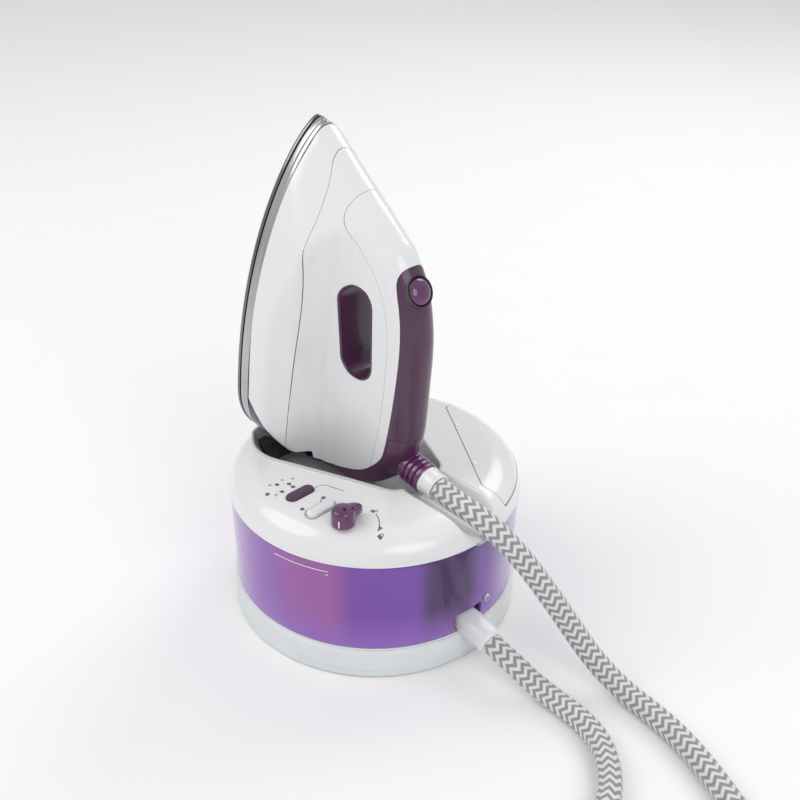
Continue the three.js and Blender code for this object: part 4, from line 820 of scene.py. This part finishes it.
def iron_surface(rows=300, columns=110):
    """Both sides of the iron's body as one sheet over its side view, open at the sole and closed at the heel."""
    gone = np.concatenate([[0], np.cumsum(np.linalg.norm(np.diff(OUTLINE, axis=0), axis=1))])
    share = np.linspace(0, 1, rows)
    at = np.stack([np.interp(share * gone[-1], gone, OUTLINE[:, k]) for k in (0, 1)], 1)
    foot_a = np.interp(share, [0, 0.2, 0.62, 1], [-HEEL_REACH, 20, 190, 252.5])
    u = np.sin(np.linspace(0, 1, columns) * math.pi / 2)
    c = CASTING_TOP + (at[:, 0][:, None] - CASTING_TOP) * u[None, :]
    a = foot_a[:, None] + (at[:, 1] - foot_a)[:, None] * u[None, :]
    w = half_width(c.ravel(), a.ravel()).reshape(c.shape)
    w[:, -1] = 0
    near = np.stack([c, -w, a], 2)
    far = np.stack([c, w, a], 2)[:, ::-1][:, 1:]
    sheet = np.concatenate([near, far], 1)
    wide = sheet.shape[1]
    heel = [(j, j + 1, wide - 2 - j, wide - 1 - j) for j in range(wide // 2)]
    return sheet.reshape(-1, 3), grid_faces(rows, wide) + [tuple(dict.fromkeys(f)) for f in heel]


IRON = iron_surface()
FRAME_LINE = curve_through([(69, 262), (66, 240), (57, 213), (77, 193), (93, 177), (105, 155), (110, 130), (112, 90),
                            (111, 52), (108, 26), (104, 2), (98, -30)], steps=8)
FRAME_SIDE = np.vstack([FRAME_LINE, [(200, -30), (200, 262)]])
COVER_SIDE = np.vstack([curve_through([(108, -30), (113, -6), (117, 20), (120.5, 52), (122.5, 90), (122, 130),
                                       (119.5, 150), (115.5, 165), (111, 176), (108, 184), (108.5, 191), (113, 195),
                                       (125, 196)], steps=8), [(200, 196), (200, -30)]])
HEEL_LINE = curve_through([(5, 56), (14, 48), (32, 25), (46, 10), (56, 3), (66, 0.5), (81, 4), (98, 13), (109, 24),
                           (118, 38), (124, 60), (150, 62)], steps=8)
HEEL_SIDE = np.vstack([HEEL_LINE, [(200, 62), (200, -60), (-40, -60), (-40, 50)]])


def seam(field):
    """The part inside a field, drawn back by half a seam."""
    return lambda c, b, a: field(c, b, a) + HALF_SEAM


def not_in(field):
    """The part outside a field, drawn back by half a seam."""
    return lambda c, b, a: HALF_SEAM - field(c, b, a)


def beside(side):
    """A part whose edge is an outline in the side view."""
    return lambda c, b, a: inside(c, a, side)


def skirt_part(c, b, a):
    return c - np.interp(a, SKIRT_SEAM[:, 0], SKIRT_SEAM[:, 1])


heel_part, frame_part, cover_part = beside(HEEL_SIDE), beside(FRAME_SIDE), beside(COVER_SIDE)


def opening_part(c, b, a):
    """Below 0 in the finger gap and the liner's edge round it."""
    x, y = turned_in_plane(c - OPENING_AT[0], a - OPENING_AT[1], OPENING_LEAN * DEG)
    half = OPENING_SIZE[1] / 2 - OPENING_SIZE[0] / 2
    return np.hypot(x, y - np.clip(y, -half, half)) - OPENING_SIZE[0] / 2 - 1.4


BUTTON_WAY = np.array([math.cos(STEAM_BUTTON_SLOPE * DEG), 0, math.sin(STEAM_BUTTON_SLOPE * DEG)])


def button_part(c, b, a):
    """Below 0 in the steam button's hole."""
    p = np.stack([c - STEAM_BUTTON_AT[0], b, a - STEAM_BUTTON_AT[1]], -1)
    depth = p @ BUTTON_WAY
    off_axis = np.linalg.norm(p - depth[..., None] * BUTTON_WAY, axis=-1)
    return np.where(depth > -14, off_axis - STEAM_BUTTON_RADIUS - 1.1, 9)


def latch_part(c, b, a):
    """Below 0 in the opening that the latch's nose goes through, in the near side of the heel."""
    x, _, z = iron_point(c, b, a)
    return np.maximum(np.maximum(np.abs(x - LATCH_NOSE[0]) - 6, np.abs(z - LATCH_NOSE[1]) - 4.2), b)


def clear_of(field):
    return lambda c, b, a: -field(c, b, a)


def under_skirt(c, b, a):
    return CASTING_TOP + 0.6 - c


SHELLS = (
    ("iron_skirt_shell", "white", "iron_skirt", 2.0, (under_skirt, seam(skirt_part), not_in(heel_part))),
    ("upper_shell_skin", "white", "upper_shell", 1.9,
     (not_in(skirt_part), not_in(heel_part), not_in(frame_part), clear_of(opening_part), clear_of(latch_part))),
    ("handle_frame_skin", "white", "handle_frame", 1.9,
     (not_in(skirt_part), seam(frame_part), not_in(cover_part), not_in(heel_part), clear_of(opening_part),
      clear_of(button_part))),
    ("handle_cover_skin", "plum", "handle_cover", 1.9, (seam(cover_part), not_in(heel_part), clear_of(button_part))),
    ("heel_cover_skin", "plum", "heel_cover", 1.9, (under_skirt, seam(heel_part), clear_of(latch_part))),
)
for name, look, node, wall, fields in SHELLS:
    made = thicken(to_object(name, piece_of(IRON, *fields), IRON_PLACE), wall, 0.35, 42)
    dress(made, look, "iron", node, slot="white_shell" if look == "white" else "plum_trim")


def opening_ring(out, across, pinch):
    """The finger gap's outline, let out, at a share of the iron's half width from its middle."""
    width, length = (size + 2 * out for size in OPENING_SIZE)
    ring = even(pill((0, 0), length, width, 40), 0, count=112)
    x, y = turned_in_plane(ring[:, 0], ring[:, 1], -OPENING_LEAN * DEG)
    x, y = x + OPENING_AT[0], y + OPENING_AT[1]
    return np.column_stack([x, across * (half_width(x, y) + pinch), y])


def liner():
    """The finger gap's inner wall, waisted in the middle and rolled out over the shell at both sides."""
    rolled = [(1.2, 0.1), (0.9, 0.5), (0.2, 0.45), (-0.3, -0.3)]
    rings = [opening_ring(out, -1, pinch) for out, pinch in rolled]
    rings += [opening_ring(-0.3 - 0.5 * math.cos(v * math.pi / 2), v, -0.6) for v in np.linspace(-0.94, 0.94, 24)]
    rings += [opening_ring(out, 1, pinch) for out, pinch in rolled[::-1]]
    middle = Vector((OPENING_AT[0], 0, OPENING_AT[1]))
    bm = facing(solid_of(np.vstack(rings), grid_faces(len(rings), len(rings[0]), wrap=True)),
                lambda f: f.normal.dot(middle - f.calc_center_median()))
    return thicken(to_object("finger_gap_wall", bm, IRON_PLACE), 1.0, 0)


dress(liner(), "plum", "iron", "opening_liner", slot="plum_trim")


def plan_outline(less):
    """The sole's outline in plan (b, a), drawn in all round."""
    heel = -HEEL_REACH + (WIDEST_AT + HEEL_REACH) * (1 - np.cos(np.linspace(0, math.pi / 2, 40)))
    tip = WIDEST_AT + (SOLE_LENGTH - WIDEST_AT) * np.sin(np.linspace(0, math.pi / 2, 90))[1:]
    a = np.concatenate([heel, tip])
    near = np.column_stack([-sole_half(a), a])
    ring = even(np.vstack([near, (near * (-1, 1))[::-1]]), 0, count=360)
    return ring - units_outward(ring) * less


def plate(name, rows, look, node, slot):
    """A plate with the sole's outline, from rows of (drawn in, height off the sole's face)."""
    rings = [np.insert(plan_outline(less), 0, c, axis=1) for less, c in rows]
    bm = solid_of(np.vstack(rings), tube_faces(len(rings), len(rings[0])))
    dress(settle(to_object(name, bm, IRON_PLACE), 50), look, "iron", node, slot=slot)


plate("soleplate_plate", [(3.0, 0.05), (1.2, 0.3), (0.35, 1.0), (0, 2.0), (0, 3.4), (0.3, 3.9)], "edge", "soleplate",
      "sole_metal")
plate("heater_casting_edge", [(1.6, 4.3), (0.9, 4.5), (0.6, 5.2), (0.5, 8.4), (1.2, 9.0), (1.3, 9.8), (0.5, 10.4),
                              (0.5, 12.2), (0.9, 12.9)], "chrome", "heater_casting", "dark_chrome")


def turned(name, profile, place, look, body, *nodes, slot=None, facets=96):
    """A turned part standing along the local Z of its place."""
    dress(settle(lathe(name, profile, facets, place @ TO_METRES), 40), look, body, *nodes, slot=slot)


def place_on_iron(point, way):
    """A place in the iron at a point, its Z along the way given there."""
    turn = Vector(way).to_track_quat("Z", "Y").to_matrix().to_4x4()
    return TO_ROW @ Matrix.Translation(Vector(point) * MM) @ turn


def place_on_dome(at, lift=0.0):
    """A place on the housing, its Z up, so far over the dome."""
    return Matrix.Translation(Vector((*at, float(dome_height(np.hypot(*at))) + lift)) * MM)


at_button = place_on_iron((STEAM_BUTTON_AT[0], 0, STEAM_BUTTON_AT[1]), BUTTON_WAY)
dome = [(0.01, 4.6), (2.4, 4.45), (4.8, 4.0), (6.8, 3.3), (8.2, 2.4), (9.1, 1.4), (9.6, 0.3), (9.6, -5), (0.01, -5)]
turned("steam_button_lens", dome, at_button, "bright", "steam_button", "steam_button", slot="bright_plum")
turned("steam_button_ring", [(9.95, -6), (9.95, 0.6), (10.3, 1.3), (11.0, 1.3), (11.5, 0.5), (11.5, -6)], at_button,
       "dark", "iron", slot="dark_plastic")
at_collar = place_on_iron((COLLAR_START, 0, COLLAR_LEVEL), (1, 0, 0))
collar = [(8.9, 14), (9.4, COLLAR_LENGTH - 0.4), (10.0, COLLAR_LENGTH), (11.0, COLLAR_LENGTH)]
for z in (20.0, 15.2, 10.4, 5.6):
    collar += [(COLLAR_RADIUS - less, z + up) for less, up in (
        (0.2, 1.2), (0, 0.4), (0, -1.8), (0.3, -2.4), (1.4, -2.6), (1.4, -3.2))]
turned("hose_collar_ring", [*collar, (COLLAR_RADIUS - 1.4, 0), (8.9, 0)], at_collar, "bright", "iron", "hose_collar",
       slot="bright_plum")
sleeve_rows = [(8.3, 14), (10.2, 14), (10.8, 22.3), (10.9, 23.2), (10.7, 24), (10.2, 24.4), (10.1, 31.6), (10.3, 32.2),
               (10.6, 32.6), (10.6, 33.6), (10.3, 34.2), (9.3, 34.3), (8.3, 34.2)]
turned("iron_hose_sleeve_cuff", sleeve_rows, at_collar, "white", "iron", "iron_hose_sleeve", slot="white_shell")


# ------------------------------------------------------------------ the base's controls
def button(name, at, look, node, slot):
    """A pill-shaped cap that follows the dome, its top edge rounded over."""
    length, width = BUTTON_SIZE
    outline = np.array(pill((0, 0), length, width, 24))
    core = np.clip(outline[:, 1], (width - length) / 2, (length - width) / 2)
    dome = dome_height(np.hypot(at[0], at[1] + core))
    rings = []
    for less, z in ((0.0, -4.5), (0.0, 1.1), (0.25, 1.6), (0.8, 2.0), (1.7, 2.2), (3.0, 2.3), (4.2, 2.32)):
        scale = 1 - less / (width / 2)
        rings.append(np.column_stack([outline[:, 0] * scale + at[0],
                                      (outline[:, 1] - core) * scale + core + at[1], z + dome]))
    bm = solid_of(np.vstack(rings), tube_faces(len(rings), len(outline)))
    dress(settle(to_object(name, bm), 45), look, node, node, slot=slot)


button("power_button_cap", POWER_AT, "plum", "power_button", "plum_trim")
button("clean_button_cap", CLEAN_AT, "white", "clean_button", "white_shell")


def printed(name, outlines, look="print", lift=0.12):
    """Flat print on the housing: each closed outline in plan is a thin leaf that follows the dome."""
    bm = bmesh.new()
    for outline in outlines:
        ring = even(outline, 0.6)
        z = top_height(ring[:, 0], ring[:, 1])
        base = [bm.verts.new((x, y, h + lift - 0.3)) for (x, y), h in zip(ring, z)]
        over = [bm.verts.new((x, y, h + lift)) for (x, y), h in zip(ring, z)]
        bm.faces.new(over)
        bm.faces.new(base[::-1])
        for i in range(len(ring)):
            j = (i + 1) % len(ring)
            bm.faces.new((base[i], base[j], over[j], over[i]))
    bmesh.ops.recalc_face_normals(bm, faces=bm.faces[:])
    bmesh.ops.triangulate(bm, faces=[f for f in bm.faces if len(f.verts) > 4])
    return dress(settle(to_object(name, bm), 30, False), look, "base")


def stroke(points, width):
    """A closed outline round a line of points."""
    p = np.array(points, float)
    way = units_along(p)
    out = np.stack([-way[:, 1], way[:, 0]], 1) * width / 2
    return np.vstack([p + out, (p - out)[::-1]])


def rectangle(x, y, half_x, half_y):
    return [(x - half_x, y - half_y), (x + half_x, y - half_y), (x + half_x, y + half_y), (x - half_x, y + half_y)]


def rim_line(outline, width):
    """A thin printed line round a closed outline, in short lengths."""
    p = np.vstack([outline, outline[:2]])
    return [stroke(p[i:i + 7], width) for i in range(0, len(outline), 6)]


OUTLINED = [size + 2.4 for size in BUTTON_SIZE]
printed("clean_button_outline", rim_line(even(pill(CLEAN_AT, *OUTLINED), 0.8), 0.5))
signs = [circle(at, 1.7, 24) for at in ((-11.5, -76.3), (-6.4, -76.4), (19.6, -68.5), (19.8, -88.7))]
signs += [rectangle(x, y, 1.6, 1.4) for x, y in ((-16.9, -83.5), (-7.2, -86.3), (-13.0, -95.5))]
signs += [stroke(line, 0.5) for line in (((-10, -76.3), (-8, -76.4)), ((19.7, -70), (21.5, -73), (24, -74)),
                                         ((5.6, -65), (6.4, -60), (9, -57), (24, -52)))]
printed("panel_signs", signs)
lens = [(0.01, 0.5), (0.7, 0.45), (1.2, 0.25), (1.5, -0.1), (1.5, -2), (0.01, -2)]
for i, spot in enumerate(LAMPS_AT, 1):
    turned(f"indicator_lens_{i}", lens, place_on_dome(spot), "lamp", "base", f"led_{i}", slot="indicator_lamp",
           facets=32)

sweep_line = arc(26, 74 * DEG, 39 * DEG, 8, KNOB_AT)
tip = np.array(sweep_line[-1])
locks = [stroke(sweep_line, 0.7), [tip + (-1.3, 1.3), tip + (1.5, -3.0), tip + (2.1, 1.9)]]


def padlock(x, y, open_by):
    """A plain padlock: its body and its shackle, moved aside if open."""
    loop = [(x + open_by + 1.1 * math.cos(t), y + 1.5 + 1.5 * math.sin(t)) for t in np.linspace(0, math.pi, 9)]
    return [rectangle(x, y, 1.7, 1.3), stroke(loop, 0.55)]


locks += padlock(KNOB_AT[0] + 26, KNOB_AT[1] + 12, 0.0) + padlock(KNOB_AT[0] + 3.5, KNOB_AT[1] + 25.5, 1.4)
printed("lock_signs", locks)


def knob():
    """The lock knob: a low drum with a rounded lever over it and a mark on its side."""
    place = place_on_dome(KNOB_AT, 0.8)
    drum = [(0.01, 0), (8.2, 0), (8.9, 0.6), (9.0, 1.4), (8.7, 8), (8.5, 10.6), (8.0, 12.2), (6.6, 13.2), (4.0, 13.8),
            (0.01, 14.0)]
    turned("lock_knob_drum", drum, place, "bright", "lock_knob", "lock_knob", slot="bright_plum")
    t = np.linspace(0, 2 * math.pi, 32, endpoint=False)
    wide, tall = squared_circle(t, 0.7)
    low = 2.0
    rings = []
    for out, half, top_z in ((0, 7.6, 13.6), (4, 6.6, 13.3), (8, 5.4, 12.6), (12, 4.4, 11.6), (15, 3.5, 10.4),
                             (16.6, 2.3, 9.2), (17.0, 0.8, 8.2)):
        rings.append(np.column_stack([half * wide, np.full(len(t), float(out)),
                                      (top_z + low) / 2 + (top_z - low) / 2 * tall]))
    lever = to_object("lock_knob_lever", solid_of(np.vstack(rings), tube_faces(len(rings), len(t))),
                      place @ TO_METRES)
    dress(settle(lever, 40), "bright", "lock_knob", slot="bright_plum")
    corners = [(x, y, z) for z in (2.0, 7.5) for x, y in rectangle(8.725, 0, 0.525, 0.45)]
    mark = to_object("lock_knob_mark", solid_of(corners, tube_faces(2, 4)),
                     place @ Matrix.Rotation(-60 * DEG, 4, "Z") @ TO_METRES)
    dress(settle(round_edges(mark, 0.15, 50, 4)), "print_white", "lock_knob")


knob()


# ------------------------------------------------------------------ the base's hose sleeve
def base_sleeve(sides=64):
    """The base's slightly square sleeve, swelling a little in its middle and drawn in at its end."""
    line = even(curve_through(BASE_SLEEVE, steps=10), 1.0, closed=False)
    way = units_along(line)
    side = np.cross(way, (0, 0, 1.0))
    side /= np.linalg.norm(side, axis=1)[:, None]
    up = np.cross(side, way)
    share = np.linspace(0, 1, len(line))
    half = 9.7 + 0.5 * np.sin(share * math.pi) - 0.9 * smooth(share, 0.93, 1)
    wide, tall = squared_circle(np.linspace(0, 2 * math.pi, sides, endpoint=False), 0.72)
    verts = (line[:, None] + side[:, None] * (wide[None, :] * half[:, None])[..., None]
             + up[:, None] * (tall[None, :] * (half * 0.96)[:, None])[..., None]).reshape(-1, 3)
    sleeve = to_object("base_sleeve_body", solid_of(verts, tube_faces(len(line), sides)))
    dress(settle(round_edges(sleeve, 0.5, 60), 40), "white", "base", "base_hose_sleeve", slot="white_shell")


base_sleeve()

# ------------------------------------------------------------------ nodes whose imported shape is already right
KEPT = {"heel_rest": ("dark", 1.2), "tank_screw": ("steel", 0.3), "lock_latch": ("dark", 0.5),
        "mains_cord_gland": ("dark", 0.4), **{f"rubber_foot_{i}": ("rubber", 0.4) for i in range(1, 5)}}
for name, (look, width) in KEPT.items():
    obj = bpy.data.objects[name]
    obj.data.materials.clear()
    obj.data.materials.append(MATERIALS[look])
    round_edges(obj, width, 40)


def level_mark(low, high, first, last):
    """A thin white bar on the tank's wall, between two heights and two angles."""
    line = arc(TANK_RADIUS + 0.12, first * DEG, last * DEG, 24)
    verts = [(x, y, z) for z in (low, high) for x, y in line]
    mark = mesh_object(f"level_mark_{round(low)}", verts, [f[::-1] for f in grid_faces(2, 24)])
    solid = mark.modifiers.new("depth", "SOLIDIFY")
    solid.thickness, solid.offset = 0.25 * MM, 0
    dress(settle(mark), "print_white", "base")


level_mark(99.6, 100.1, -82, -59)
level_mark(96.6, 97.0, -60.2, -59)


# ------------------------------------------------------------------ stage
def lamp(name, place, size, power, aim=(0, 0, 0.15)):
    """A round soft light, its place and size in metres."""
    data = bpy.data.lights.new(name, "AREA")
    data.shape, data.size, data.energy = "DISK", size, power
    light = bpy.data.objects.new(name, data)
    light.location = place
    light.rotation_euler = (Vector(place) - Vector(aim)).to_track_quat("Z", "Y").to_euler()
    bpy.context.scene.collection.objects.link(light)


def stage():
    """A wide pale floor, an even white sky and three soft lights."""
    bm = bmesh.new()
    bmesh.ops.create_grid(bm, x_segments=2, y_segments=2, size=6000)
    floor = to_object("floor", bm)
    floor.data.materials.append(material("floor_white", (0.9, 0.9, 0.9), 0.9, vary=0.004))
    world = bpy.data.worlds.new("studio")
    bpy.context.scene.world = world
    world.use_nodes = True
    sky = world.node_tree.nodes["Background"].inputs
    sky["Color"].default_value, sky["Strength"].default_value = (1, 1, 1, 1), 0.68
    lamp("key", (-1.0, -1.2, 1.8), 1.6, 15)
    lamp("fill", (1.6, -0.4, 1.2), 1.2, 8)
    lamp("back", (-0.3, 1.5, 1.5), 1.2, 9)
    bpy.context.scene.view_settings.view_transform = "Standard"


stage()
